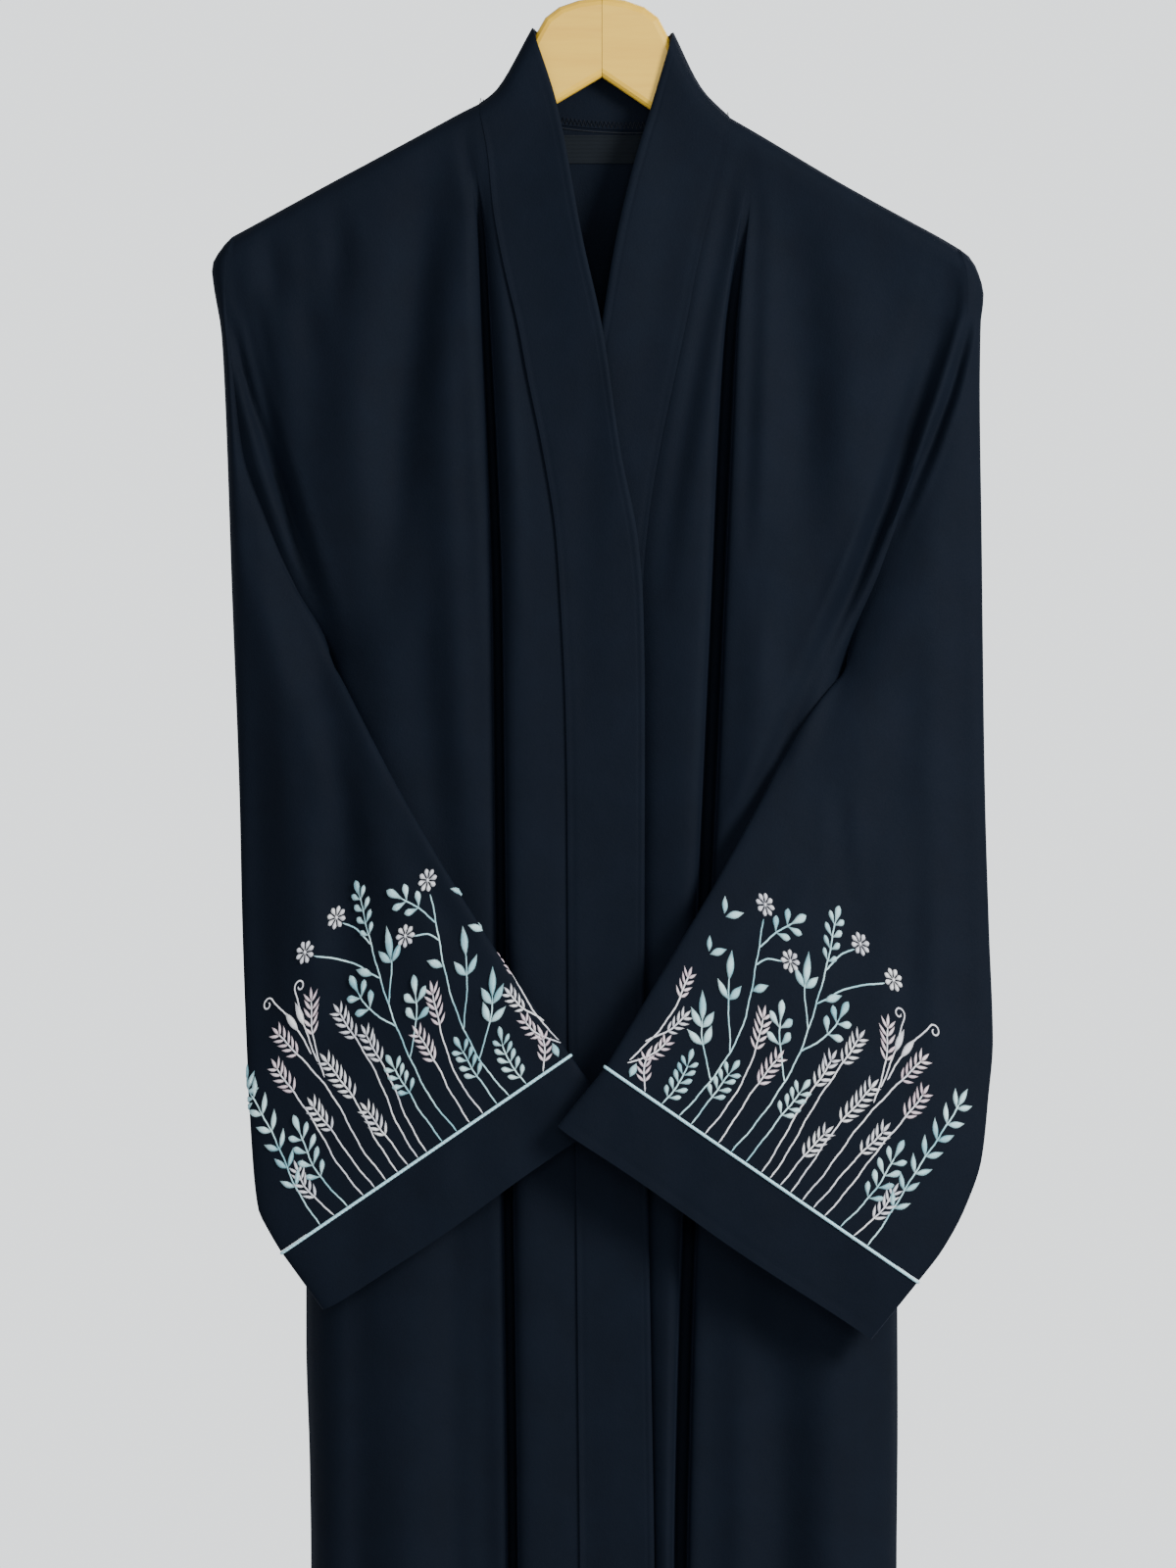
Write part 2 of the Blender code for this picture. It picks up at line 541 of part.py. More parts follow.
def front_surface(side, point):
    """y of the front panel's outer face behind a point, or of the band; beside the panel it falls away backwards."""
    hit = FRONT_TREES[side].ray_cast(Vector((point.x, -1, point.z)), Vector((0, 1, 0)))[0]
    if hit:
        return hit.y
    beside = abs(point.x) - read(PANEL_EDGE[side], "out", point.z)
    if beside < -0.02:
        return -FORWARD["left"]["band"][-1]
    return beside * 0.5 if beside < 0.02 else 1.0


def grid_tree(rows):
    """A search tree of the surface through rows of points."""
    across = len(rows[0])
    faces = [
        (i * across + j, i * across + j + 1, (i + 1) * across + j + 1, (i + 1) * across + j)
        for i in range(len(rows) - 1) for j in range(across - 1)
    ]
    return BVHTree.FromPolygons([point for row in rows for point in row], faces)


def outer_level(side, drop):
    """Height at the sleeve's outer edge of the row that is this far down at the armhole."""
    return SHOULDER[side]["z"][-1] - drop * OUTER_LEAD - OUTER_START * (1 - math.exp(-drop / 0.004))


def armhole_row(side, drop):
    """Points round the sleeve above the underarm, from the front armhole edge over its outer edge to the back one."""
    share = drop / UNDERARM_DROP
    edge_z = mix(SHOULDER[side]["z"][-1], HEM_Z, drop / FRAME_LENGTH)
    outer_z = outer_level(side, drop)
    edge = read(PANEL_EDGE[side], "out", edge_z) + SLEEVE_SEAM
    outer = read(SLEEVE_OUTER[side], "out", outer_z)
    start = armhole_half(drop / FRAME_LENGTH) if share < 1 else 0.0
    closed = HALF_SEAM + ARMHOLE_HALF * over_the_arm(drop) - start  # the tube keeps its depth where its edge closes
    closing = share**4
    found = []
    for across, layer in loop_points(closing):
        quarter = math.sqrt(1 - (1 - across) ** 2)
        bulge = read(SLEEVE_BULGE, "front" if layer < 0 else "back", share, "share")
        bulge += closed * (KEEP_FRONT if layer < 0 else KEEP_BACK)
        depth = start * quarter + bulge * loop_height(across, mix(ROUND, FLAT, closing), mix(OPEN, FLAT, closing))
        z = mix(outer_z, edge_z, across) if drop else edge_z
        out = mix(outer, edge, across) if drop else edge
        found.append(Vector((SIDES[side] * out, layer * depth if drop else 0, z)))
    return found


def sleeve_row(side, share):
    """Points round the sleeve below the underarm, from its inner edge over the front to the inner edge again."""
    under_z = mix(SHOULDER[side]["z"][-1], HEM_Z, UNDERARM_DROP / FRAME_LENGTH)
    start_z = outer_level(side, UNDERARM_DROP)
    (outer_end, outer_end_z), (inner_end, inner_end_z) = CUFF[side]["piping"]
    outer_z, inner_z = mix(start_z, outer_end_z, share), mix(under_z, inner_end_z, share)
    outer, inner = read(SLEEVE_OUTER[side], "out", outer_z), read(SLEEVE_INNER[side], "out", inner_z)
    outer_y, inner_y, front, back = (read(SLEEVE_DEPTH[side], name, share, "share") for name in DEPTHS)
    found = []
    for across, layer in loop_points():
        folds = soft_folds(SLEEVE_FOLDS[side], across, share, ("top_share", "top_across", "foot_share", "foot_across"))
        forward = mix(outer_y, inner_y, across) - layer * (front if layer < 0 else back) * loop_height(across)
        forward += folds * loop_height(across) * (1 - share**4) * min(1, share / 0.2) * (1 if layer < 0 else 0.6)
        found.append(Vector((SIDES[side] * mix(outer, inner, across), -forward, mix(outer_z, inner_z, across))))
    return rest_on_front(side, found)


def cuff_row(side, share, spread=0.0):
    """Points round the cuff, from the piping (0) to its hem (1); spread moves the wall outwards all round."""
    ends = [Vector((*mix(np.array(a), np.array(b), share),)) for a, b in zip(CUFF[side]["piping"], CUFF[side]["hem"])]
    outer_y, inner_y, front, back = (read(SLEEVE_DEPTH[side], name, 1, "share") for name in DEPTHS)
    along = (ends[0] - ends[1]).normalized() * spread
    found = []
    for across, layer in loop_points():
        point = (ends[0] + along).lerp(ends[1] - along, across)
        forward = mix(outer_y, inner_y, across) - layer * ((front if layer < 0 else back) + spread) * loop_height(across)
        found.append(Vector((SIDES[side] * point.x, -forward, point.y)))
    return found


def cuff_axis(side):
    """Direction from the piping to the cuff's hem."""
    (a, _), (b, _) = CUFF[side]["piping"], CUFF[side]["hem"]
    return Vector((SIDES[side] * (b[0] - a[0]), 0, b[1] - a[1])).normalized()


# ---------------------------------------------------------------- Blender objects
def start_scene():
    """Empties the scene and makes the collection that the pieces go in."""
    for old in list(bpy.data.objects):
        bpy.data.objects.remove(old)
    pieces = bpy.data.collections.new("abaya_cloak")
    bpy.context.scene.collection.children.link(pieces)
    return pieces


def finish(name, colour, roughness, metallic=0.0):
    """A plain material for the solid."""
    made = bpy.data.materials.new(name)
    made.use_nodes = True
    shader = made.node_tree.nodes["Principled BSDF"]
    shader.inputs["Base Color"].default_value = (*colour, 1)
    shader.inputs["Roughness"].default_value = roughness
    shader.inputs["Metallic"].default_value = metallic
    return made


def add(name, mesh, material):
    """Puts a bmesh into the collection as a named object."""
    data = bpy.data.meshes.new(name)
    mesh.to_mesh(data)
    mesh.free()
    data.materials.append(material)
    data.shade_smooth()
    made = bpy.data.objects.new(name, data)
    PIECES.objects.link(made)
    return made


def wall(name, rows, thickness, material, inside, lean):
    """A cloth wall through rows of points on its outer face, which faces away from the point inside.

    lean gives the wall's outward direction at a vertex from its row, its column, the face's own normal there and
    whether it is on the rim, so that two walls that meet at a seam can turn the same way.
    """
    across, down = len(rows[0]) - 1, len(rows) - 1
    mesh = bmesh.new()
    bmesh.ops.create_grid(mesh, x_segments=across, y_segments=down, size=1)
    place = mesh.verts.layers.int.new("place")
    mesh.verts.ensure_lookup_table()
    for index, vert in enumerate(mesh.verts):
        vert.co = rows[index // (across + 1)][index % (across + 1)]
        vert[place] = index
    bmesh.ops.remove_doubles(mesh, verts=mesh.verts, dist=1e-6)
    bmesh.ops.dissolve_degenerate(mesh, edges=mesh.edges, dist=1e-7)
    mesh.normal_update()
    if sum((face.calc_center_median() - inside).dot(face.normal) * face.calc_area() for face in mesh.faces) < 0:
        bmesh.ops.reverse_faces(mesh, faces=mesh.faces)
        mesh.normal_update()
    outer, rim = list(mesh.faces), [edge for edge in mesh.edges if edge.is_boundary]
    inner = {}
    for vert in list(mesh.verts):
        row, column = divmod(vert[place], across + 1)
        direction = lean(row, column, vert.normal, vert.is_boundary)
        inner[vert] = mesh.verts.new(vert.co - direction * thickness)
    for edge in rim:
        loop = edge.link_loops[0]
        start, end = loop.vert, loop.link_loop_next.vert
        mesh.faces.new((end, start, inner[start], inner[end]))
    for face in outer:
        mesh.faces.new([inner[vert] for vert in reversed(face.verts)])
    return add(name, mesh, material)


BEHIND, BEFORE = Vector((0, 9, -0.7)), Vector((0, -9, -0.7))  # far inner sides of the front's and the back's pieces


def middle_of(rows):
    """The middle of rows of points."""
    points = [point for row in rows for point in row]
    return sum(points, Vector()) / len(points)


def towards(direction):
    """A lean that is the same at every vertex."""
    return lambda row, column, normal, rim: Vector(direction)


def over_arm(drop, layer):
    """Outward direction of cloth that has turned over the hanger's arm: up on top, and to the front (-1) or back (1) below."""
    turned = over_the_arm(drop)
    return Vector((0, layer * turned, math.sqrt(1 - turned**2)))


def armhole_lean(side, row, layer):
    """Outward direction of the walls along the armhole and the side seam."""
    if row >= UNDERARM_ROW:
        return Vector((SIDES[side], 0, 0))
    return over_arm(ROW_DROPS[row], layer)


def build_body(cloth):
    """The two fronts and the back."""
    for side, rows in FRONT_ROWS.items():
        last = len(rows[0]) - 1
        drops = [[rows[0][column].z - row[column].z for column in range(last + 1)] for row in rows]

        def lean(row, column, normal, rim, side=side, last=last, drops=drops):
            if row == 0:
                return Vector((0, 0, 1))
            if column == 0:
                return armhole_lean(side, row, -1)
            if column == last:
                return over_arm(drops[row][column], -1)
            return normal

        wall(f"front_{side}", rows, CLOTH, cloth, BEHIND, lean)
    neck = range(len(BACK_SHARES) - 1, len(BACK_SHARES) - 1 + len(NECK_COLUMNS))
    last = len(BACK_ROWS[0]) - 1

    def back_lean(row, column, normal, rim):
        if row == 0:
            return neck_lean(NECK_COLUMNS[column - neck[0]]) if column in neck else Vector((0, 0, 1))
        if column in (0, last):
            return armhole_lean("left" if (BACK_ROWS[0][column].x < 0) else "right", row, 1)
        return normal

    wall("back", BACK_ROWS, CLOTH, cloth, BEFORE, back_lean)


def neck_lean(share):
    """Outward direction of the walls along the back neck seam."""
    width = SHOULDER["left"]["out"][0] + SHOULDER["right"]["out"][0]
    return over_arm(min(share, 1 - share) * width, 1)


def build_bands(cloth):
    """The front band: down each front, and behind the neck."""
    for side in SIDES:
        rows = [band_row(side, fraction, BAND_ACROSS) for fraction in FRACTIONS]

        def lean(row, column, normal, rim, rows=rows):
            if row == 0:
                return square_to(rows[0], column)
            return over_arm(rows[0][0].z - rows[row][0].z, -1) if column == 0 else normal

        wall(f"band_{side}", rows, DOUBLE, cloth, BEHIND, lean)
    neck = neck_band()

    def neck_band_lean(row, column, normal, rim):
        if row in (0, len(neck) - 1):
            return square_to(neck[row], column)
        return neck_lean(NECK_COLUMNS[row]) if column == 0 else normal

    wall("band_neck", neck, DOUBLE, cloth, BEFORE, neck_band_lean)


def square_to(line, i):
    """Upward direction square to a line of points that lies across the front view."""
    run = line[min(i + 1, len(line) - 1)] - line[max(i - 1, 0)]
    across = Vector((-run.z, 0, run.x)).normalized()
    return across if across.z > 0 else -across


def build_sleeves(cloth):
    """Each sleeve is one tube, open along the armhole above the underarm and at the piping."""
    for side in SIDES:
        rows = [armhole_row(side, drop) for drop in ROW_DROPS[: UNDERARM_ROW + 1]]
        rows += [sleeve_row(side, share) for share in SLEEVE_SHARES]
        axis = cuff_axis(side)

        def lean(row, column, normal, rim, side=side, rows=rows, axis=axis):
            if row == len(rows) - 1:
                return (normal - axis * normal.dot(axis)).normalized()
            if rim and row < UNDERARM_ROW:
                return armhole_lean(side, row, -1 if column == 0 else 1)
            if row < UNDERARM_ROW:
                room = 0.8 * abs(rows[row][column].x - rows[row][0].x) / CLOTH
                return Vector((max(-room, min(room, normal.x)), normal.y, normal.z))
            return normal

        wall(f"sleeve_{side}", rows, CLOTH, cloth, middle_of(rows), lean)


def build_cuffs(cloth, cord):
    """The plain cuff below the piping, and the piping that lies in the seam."""
    for side in SIDES:
        step = cuff_axis(side)
        lift = step * (PIPING + 2 * SEAM)
        rows = []
        for share in CUFF_ROWS:
            rows.append([point + lift * (1 - share) for point in cuff_row(side, share)])

        def lean(row, column, normal, rim, step=step):
            return (normal - step * normal.dot(step)).normalized()

        wall(f"cuff_{side}", rows, CUFF_WALL, cloth, middle_of(rows), lean)
        centre = [point + step * (PIPING / 2 + SEAM) for point in cuff_row(side, 0, 0.0003)][:-1]
        build_piping(f"piping_{side}", centre, cord)


def build_piping(name, centre, material):
    """A closed cord through the given points."""
    line = bpy.data.curves.new(name, "CURVE")
    line.dimensions = "3D"
    line.bevel_depth = PIPING / 2
    line.bevel_resolution = 1
    spline = line.splines.new("POLY")
    spline.points.add(len(centre) - 1)
    for point, place in zip(spline.points, centre):
        point.co = (*place, 1)
    spline.use_cyclic_u = True
    line.materials.append(material)
    made = bpy.data.objects.new(name, line)
    PIECES.objects.link(made)
    return made


def build_label(cloth):
    """A small blank woven label inside the back of the neck."""
    width, height = LABEL_SIZE
    columns = [mix(-0.5, 0.5, i / 6) for i in range(7)]
    panel = BACK_ROWS
    rows = []
    for level in (0, 0.5, 1):
        z = LABEL_TOP - height * level
        row = []
        for column in columns:
            x = 0.002 + width * column
            row.append(Vector((x, surface_y(panel, x, z) - CLOTH - SEAM - 0.0002, z)))
        rows.append(row)
    wall("label", rows, LABEL_THICK, cloth, BEFORE, towards((0, 1, 0)))


def surface_y(rows, x, z):
    """The smallest y of a panel's outer face near a point, read from its own points."""
    near = sorted((abs(p.x - x) + abs(p.z - z), p.y) for row in rows for p in row)[:6]
    return min(y for _, y in near)


def inset(points, distance):
    """A path moved sideways to its right by distance."""
    moved = []
    for i, point in enumerate(points):
        before, after = np.array(points[max(i - 1, 0)]), np.array(points[min(i + 1, len(points) - 1)])
        run = (after - before) / np.linalg.norm(after - before)
        moved.append((point[0] + run[1] * distance, point[1] - run[0] * distance))
    return moved


def wood_outline(side):
    """(out, z) round one arm of the hanger: the centre's top, the neck and shoulder, the rounded end, the underside."""
    shoulder = list(zip(SHOULDER[side]["out"], SHOULDER[side]["z"]))
    (before, before_z), (tip, tip_z) = shoulder[-2:]
    reach = WOOD_REACH / math.hypot(tip - before, tip_z - before_z)
    shoulder[-1] = (tip + (tip - before) * reach, tip_z + (tip_z - before_z) * reach)
    gap = DOUBLE + 0.0014
    neck = [(abs(point.x), point.z) for point in band_row(side, 0, (1, 0.8, 0.6, 0.4, 0.2))]
    top = inset([*neck, *shoulder], gap)
    middle = inset(shoulder, gap + WOOD_DEPTH / 2)
    under = inset(shoulder, gap + WOOD_DEPTH)
    arch = [(HALF_SEAM, WOOD_TOP), (0.0135, WOOD_TOP - 0.0018), (0.0245, WOOD_TOP - 0.0056), (0.0325, WOOD_TOP - 0.0117)]
    lead = math.atan2(top[-1][1] - middle[-1][1], top[-1][0] - middle[-1][0])
    turn = [lead - math.pi * i / 6 for i in range(1, 6)]
    end = [(middle[-1][0] + WOOD_DEPTH / 2 * math.cos(a), middle[-1][1] + WOOD_DEPTH / 2 * math.sin(a)) for a in turn]
    return [*arch, *top, *end, *reversed(under[1:]), (HALF_SEAM, NOTCH_Z)]


def build_hanger(wood, steel):
    """Two wooden arms that meet at the centre, a ferrule and a wire hook."""
    for side in SIDES:
        mesh = bmesh.new()
        outline = wood_outline(side)
        ring = [mesh.verts.new((SIDES[side] * out, -ARM_HALF, z)) for out, z in outline]
        face = mesh.faces.new(ring)
        moved = bmesh.ops.extrude_face_region(mesh, geom=[face])
        bmesh.ops.translate(mesh, vec=(0, 2 * ARM_HALF, 0), verts=[v for v in moved["geom"] if isinstance(v, bmesh.types.BMVert)])
        bmesh.ops.recalc_face_normals(mesh, faces=mesh.faces)
        rims = [
            edge for edge in mesh.edges
            if abs(edge.verts[0].co.y - edge.verts[1].co.y) < 1e-6 and max(abs(v.co.x) for v in edge.verts) > 2 * HALF_SEAM
        ]
        bmesh.ops.bevel(
            mesh, geom=rims, offset=WOOD_BEVEL, offset_type="OFFSET", segments=3, profile=0.5, affect="EDGES",
            clamp_overlap=False, material=-1,
        )
        add(f"hanger_arm_{side}", mesh, wood)
    build_hook(steel)


def build_hook(steel):
    """The wire hook, with the point that rests on a rail at the origin, and the ferrule on the wood."""
    centre_z = -HOOK_RADIUS
    radius = HOOK_RADIUS + HOOK_WIRE / 2
    points = [(0, WOOD_TOP + SEAM), (0, WOOD_TOP + 0.008), (0.0006, centre_z - radius - 0.006)]
    points += [
        (radius * math.sin(angle), centre_z - radius * math.cos(angle))
        for angle in (math.radians(degrees) for degrees in range(18, 281, 14))
    ]
    line = bpy.data.curves.new("hanger_hook", "CURVE")
    line.dimensions = "3D"
    line.bevel_depth = HOOK_WIRE / 2
    line.bevel_resolution = 2
    line.use_fill_caps = True
    spline = line.splines.new("POLY")
    spline.points.add(len(points) - 1)
    for point, (x, z) in zip(spline.points, points):
        point.co = (x, 0, z, 1)
    line.materials.append(steel)
    PIECES.objects.link(bpy.data.objects.new("hanger_hook", line))

    profile = [(0.0042, 0.0065), (0.0050, 0.0050), (0.0050, 0.0003), (0.0021, 0.0003), (0.0021, 0.0065)]
    mesh = bmesh.new()
    ring = [mesh.verts.new((x, 0, WOOD_TOP + z)) for x, z in profile]
    edges = [mesh.edges.new((ring[i], ring[(i + 1) % len(ring)])) for i in range(len(ring))]
    bmesh.ops.spin(
        mesh, geom=ring + edges, cent=(0, 0, 0), axis=(0, 0, 1), dvec=(0, 0, 0), angle=2 * math.pi, steps=20,
        use_merge=True, use_normal_flip=False, use_duplicate=False,
    )
    bmesh.ops.recalc_face_normals(mesh, faces=mesh.faces)
    add("hook_ferrule", mesh, steel)


PIECES = start_scene()
BACK_ROWS = back_panel()
FRONT_ROWS = {side: front_panel(side) for side in SIDES}
FRONT_TREES = {side: grid_tree(FRONT_ROWS[side]) for side in SIDES}
nida = finish("black_crepe", (0.010, 0.013, 0.020), 0.75)
satin = finish("mint_satin_piping", (0.50, 0.66, 0.66), 0.45)
lotus = finish("pale_wood", (0.76, 0.58, 0.29), 0.38)
wire = finish("steel_wire", (0.72, 0.72, 0.73), 0.25, 1.0)
woven = finish("woven_label", (0.014, 0.016, 0.022), 0.5)
build_body(nida)
build_bands(nida)
build_sleeves(nida)
build_cuffs(nida, satin)
build_label(woven)
build_hanger(lotus, wire)
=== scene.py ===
# %% [markdown]
# # An open abaya on a wooden hanger
# A plain solid model of the garment is loaded first and never changed. Every piece of cloth is then modelled
# again as a thin sheet that follows its solid, with finer folds, and gets thread, cord, weave and finish.
# All sizes are in metres: +Z is up, the front faces -Y, and the origin is inside the top of the hanger's hook.

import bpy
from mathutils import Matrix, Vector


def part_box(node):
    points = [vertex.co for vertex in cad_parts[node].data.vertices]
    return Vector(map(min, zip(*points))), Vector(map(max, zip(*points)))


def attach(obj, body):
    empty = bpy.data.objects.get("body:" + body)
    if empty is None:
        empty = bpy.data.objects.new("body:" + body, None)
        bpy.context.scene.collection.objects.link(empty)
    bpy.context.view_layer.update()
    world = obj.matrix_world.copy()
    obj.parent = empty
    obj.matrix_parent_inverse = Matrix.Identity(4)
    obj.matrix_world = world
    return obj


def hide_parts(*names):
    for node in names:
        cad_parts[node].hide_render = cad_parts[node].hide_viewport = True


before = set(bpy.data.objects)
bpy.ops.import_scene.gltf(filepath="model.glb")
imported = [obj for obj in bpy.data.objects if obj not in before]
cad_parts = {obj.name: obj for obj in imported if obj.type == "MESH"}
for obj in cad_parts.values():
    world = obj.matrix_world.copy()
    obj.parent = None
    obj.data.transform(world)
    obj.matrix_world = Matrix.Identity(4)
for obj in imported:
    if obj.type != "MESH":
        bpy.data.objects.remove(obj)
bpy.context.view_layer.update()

import math

import bmesh
import bpy
import numpy as np
from mathutils import Vector, noise
from mathutils.bvhtree import BVHTree

print("solids:", ", ".join(sorted(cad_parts)))

# %% [markdown]
# ## Camera, floor and light
# A hanging garment is looked at straight on, from about the height of its elbows. A long lens from far away keeps
# widths and heights true, as on a size chart. Black cloth shows its creases only where light rakes across it, so
# the key is a soft box close to the cloth and well to the right. A weak fill stands on the left, a front light
# reaches inside the neck, and a rear one parts the shoulders from the bright room.


# %% Colours and nodes
def linear(colour):
    """A linear colour from its sRGB hex value."""
    parts = [int(colour[i : i + 2], 16) / 255 for i in (1, 3, 5)]
    return (*(c / 12.92 if c <= 0.04045 else ((c + 0.055) / 1.055) ** 2.4 for c in parts), 1)


def material(name, colour, **settings):
    """A material with its colour and plain numbers set on the shader's own sockets."""
    made = bpy.data.materials.new(name)
    made.use_nodes = True
    sockets = made.node_tree.nodes["Principled BSDF"].inputs
    sockets["Base Color"].default_value = linear(colour)
    for key, value in settings.items():
        sockets[key.replace("_", " ")].default_value = value
    return made


def node(made, kind, settings=None, links=None, out=0):
    """Adds a node and returns one of its outputs.

    Settings are the node's properties or socket values, and links are the outputs that feed it.
    """
    tree = made.node_tree
    new = tree.nodes.new(kind)
    for key, value in (settings or {}).items():
        if hasattr(new, str(key)):
            setattr(new, key, value)
        else:
            new.inputs[key].default_value = value
    for key, source in (links or {}).items():
        tree.links.new(source, new.inputs[key])
    return new.outputs[out]


def feed(made, **links):
    """Links outputs to sockets of a material's shader."""
    tree = made.node_tree
    for key, source in links.items():
        tree.links.new(source, tree.nodes["Principled BSDF"].inputs[key.replace("_", " ")])


def tones(first, second):
    """Settings of a mix of two colours."""
    return {"Color1": linear(first), "Color2": linear(second)}


def put(name, data):
    """An object of that data, in the scene."""
    made = bpy.data.objects.new(name, data)
    bpy.context.scene.collection.objects.link(made)
    return made


# %% Camera
camera = put("camera", bpy.data.cameras.new("camera"))
camera.data.sensor_fit = "VERTICAL"
camera.data.sensor_height = 36
camera.data.lens = 480  # mm, from 12 m away
camera.location = (-0.008, -12.0, -0.512)
camera.rotation_euler = (math.radians(90), 0, 0)
bpy.context.scene.camera = camera


# %% Floor and light
def lamp(name, place, aim, size, power, colour):
    """A square soft box that points at a place."""
    light = bpy.data.lights.new(name, "AREA")
    light.size, light.energy, light.color = size, power, linear(colour)[:3]
    made = put(name, light)
    made.location = place
    made.rotation_euler = (Vector(aim) - Vector(place)).to_track_quat("-Z", "Y").to_euler()


lamp("key", (1.5, -1.35, 0.25), (0, 0, -0.6), 0.7, 80, "#fffdfa")
lamp("fill", (-1.9, -1.5, -0.2), (0, 0, -0.7), 1.6, 6, "#eef3ff")
lamp("front", (0.1, -3.2, 0.0), (0, 0, -0.2), 0.9, 22, "#f6f9ff")
lamp("rear", (0.9, 2.2, 0.5), (0, 0, -0.7), 1.4, 30, "#f4f6ff")
world = bpy.data.worlds.new("studio")
bpy.context.scene.world = world
world.use_nodes = True
background = world.node_tree.nodes["Background"].inputs
background["Color"].default_value = linear("#e6eaec")
# The room looks bright (2.1), and lights the cloth more softly (0.85).
seen = node(world, "ShaderNodeLightPath", out="Is Camera Ray")
strength = node(world, "ShaderNodeMapRange", {"To Min": 0.85, "To Max": 2.1}, {"Value": seen})
world.node_tree.links.new(strength, background["Strength"])

FLOOR_Z, FLOOR_RADIUS = -1.72, 2.3
floor_mesh = bmesh.new()
bmesh.ops.create_circle(floor_mesh, cap_ends=True, segments=96, radius=FLOOR_RADIUS)
bmesh.ops.translate(floor_mesh, vec=(0, 0, FLOOR_Z), verts=floor_mesh.verts)
floor_data = bpy.data.meshes.new("floor")
floor_mesh.to_mesh(floor_data)
floor_mesh.free()
floor = put("floor", floor_data)
floor_data.materials.append(material("pale_painted_floor", "#d9dadc", Roughness=0.6))
print("camera, four soft boxes and a floor")

# %% [markdown]
# ## The cut of the garment
# The tables give the outline and depth of each cut piece at named heights, in mm. In each one, "out" is the
# distance outwards from the centre line and z is the height. Left and right are the viewer's. A smooth curve
# through a table never overshoots it, so a long edge stays as quiet as a real seam.

# %% Sizes of the cut pieces
CLOTH = 0.0009  # the crepe, one layer with its crease allowance
DOUBLE = 0.0019  # the folded front band
CUFF_WALL = 0.0014
SEAM = 0.0003  # gap between pieces at a seam
HALF_SEAM = SEAM / 2
SLEEVE_SEAM = 0.00036  # the armhole runs at a slant, so its gap is a little wider across
HEM = -1524  # in mm, 1.40 m below the neck point
HEM_Z = HEM / 1000
FRAME_LENGTH = 1.309  # shoulder tip to hem, the length that DROPS are measured on
LONGEST = 1409  # in mm, past every drop
ROLL = 0.0090  # radius at which cloth turns over the hanger's arm
UNDERARM_DROP = 0.240  # from the shoulder tip to the underarm
SIDES = {"left": -1, "right": 1}


def table(columns, *rows):
    """A table with named columns, from mm to metres. A column "share" keeps its values."""
    columns = columns.split()
    return {name: [row[i] / (1 if name == "share" else 1000) for row in rows] for i, name in enumerate(columns)}


SHOULDER = {  # shoulder seam, from the neck point to the shoulder tip
    "left": table("out z", (71, -122), (83, -128), (106, -141), (146, -162), (190, -186), (212, -198)),
    "right": table("out z", (74, -130), (93, -141), (128, -162), (171, -186), (195, -199), (205, -205)),
}
NECK_TIP = {"left": (0.040, -0.078), "right": (0.041, -0.0806)}  # where the band's free edge crosses the hanger
NECK_MID = {"left": (0.061, -0.114), "right": (0.0575, -0.113)}  # the band's middle, on the hanger
BACK_NECK_DROP = 0.010  # the back neck seam dips this far at its centre
PANEL_EDGE = {  # outer edge of a front or back panel: the armhole, then the side seam
    "left": table(
        "z out", (-198, 212), (-212, 215), (-235, 215.5), (-260, 213), (-295, 209.5), (-325, 205), (-353, 195),
        (-376, 186), (-400, 175), (-438, 156), (-500, 158), (-600, 163), (-717, 169.5), (-830, 169.6),
        (-900, 167.6), (-962, 166.8), (HEM, 173),
    ),
    "right": table(
        "z out", (-205, 205), (-220, 209), (-237, 209.5), (-254, 206), (-272, 201), (-303, 191), (-333, 180),
        (-388, 160), (-446, 140), (-500, 147), (-600, 158), (-760, 169), (-880, 169.6), (-962, 169), (HEM, 176),
    ),
}
FOLD = {  # the deep fold beside the front band: its place, half width and depth
    "left": table(
        "z out half depth", (-126, 80, 1.2, 0), (-162, 73.5, 1.8, 0), (-200, 69, 2.8, 9), (-250, 66.5, 3.4, 16),
        (-321, 63, 3.8, 19), (-408, 60, 4, 20), (-658, 57, 4, 20), (-717, 54.5, 4, 20), (-962, 51, 4, 20),
        (HEM, 47, 4.5, 20),
    ),
    "right": table(
        "z out half depth", (-133, 88, 1.2, 0), (-170, 83.5, 2.2, 0), (-213, 77.6, 3.6, 10),
        (-249, 73.7, 4.4, 16), (-321, 69.8, 5, 19), (-397, 66.5, 5, 20), (-523, 61, 5.2, 21), (-658, 55, 5.2, 21),
        (-760, 50, 5.2, 21), (-875, 46.5, 5.2, 21), (-962, 45, 5, 21), (HEM, 44, 5, 20),
    ),
}
BAND = {  # the front band's sewn edge
    "left": table(
        "z sewn", (-122, 71), (-150, 65.5), (-180, 62.5), (-213, 56.5), (-250, 47.8), (-276, 43), (-321, 33.8),
        (-367, 26.5), (-408, 23.6), (-466, 20.8), (-523, 19.7), (-658, 19), (-717, 15.2), (-847, 13.5),
        (-962, 12.4), (HEM, 10),
    ),
    "right": table(
        "z sewn", (-130, 74), (-154, 70), (-176, 64), (-213, 55), (-249, 48), (-275, 42.5), (-321, 33),
        (-362, 26.5), (-397, 23.5), (-466, 22.5), (-658, 22.5), (-760, 24), (-875, 26.2), (-962, 27.5), (HEM, 30),
    ),
}
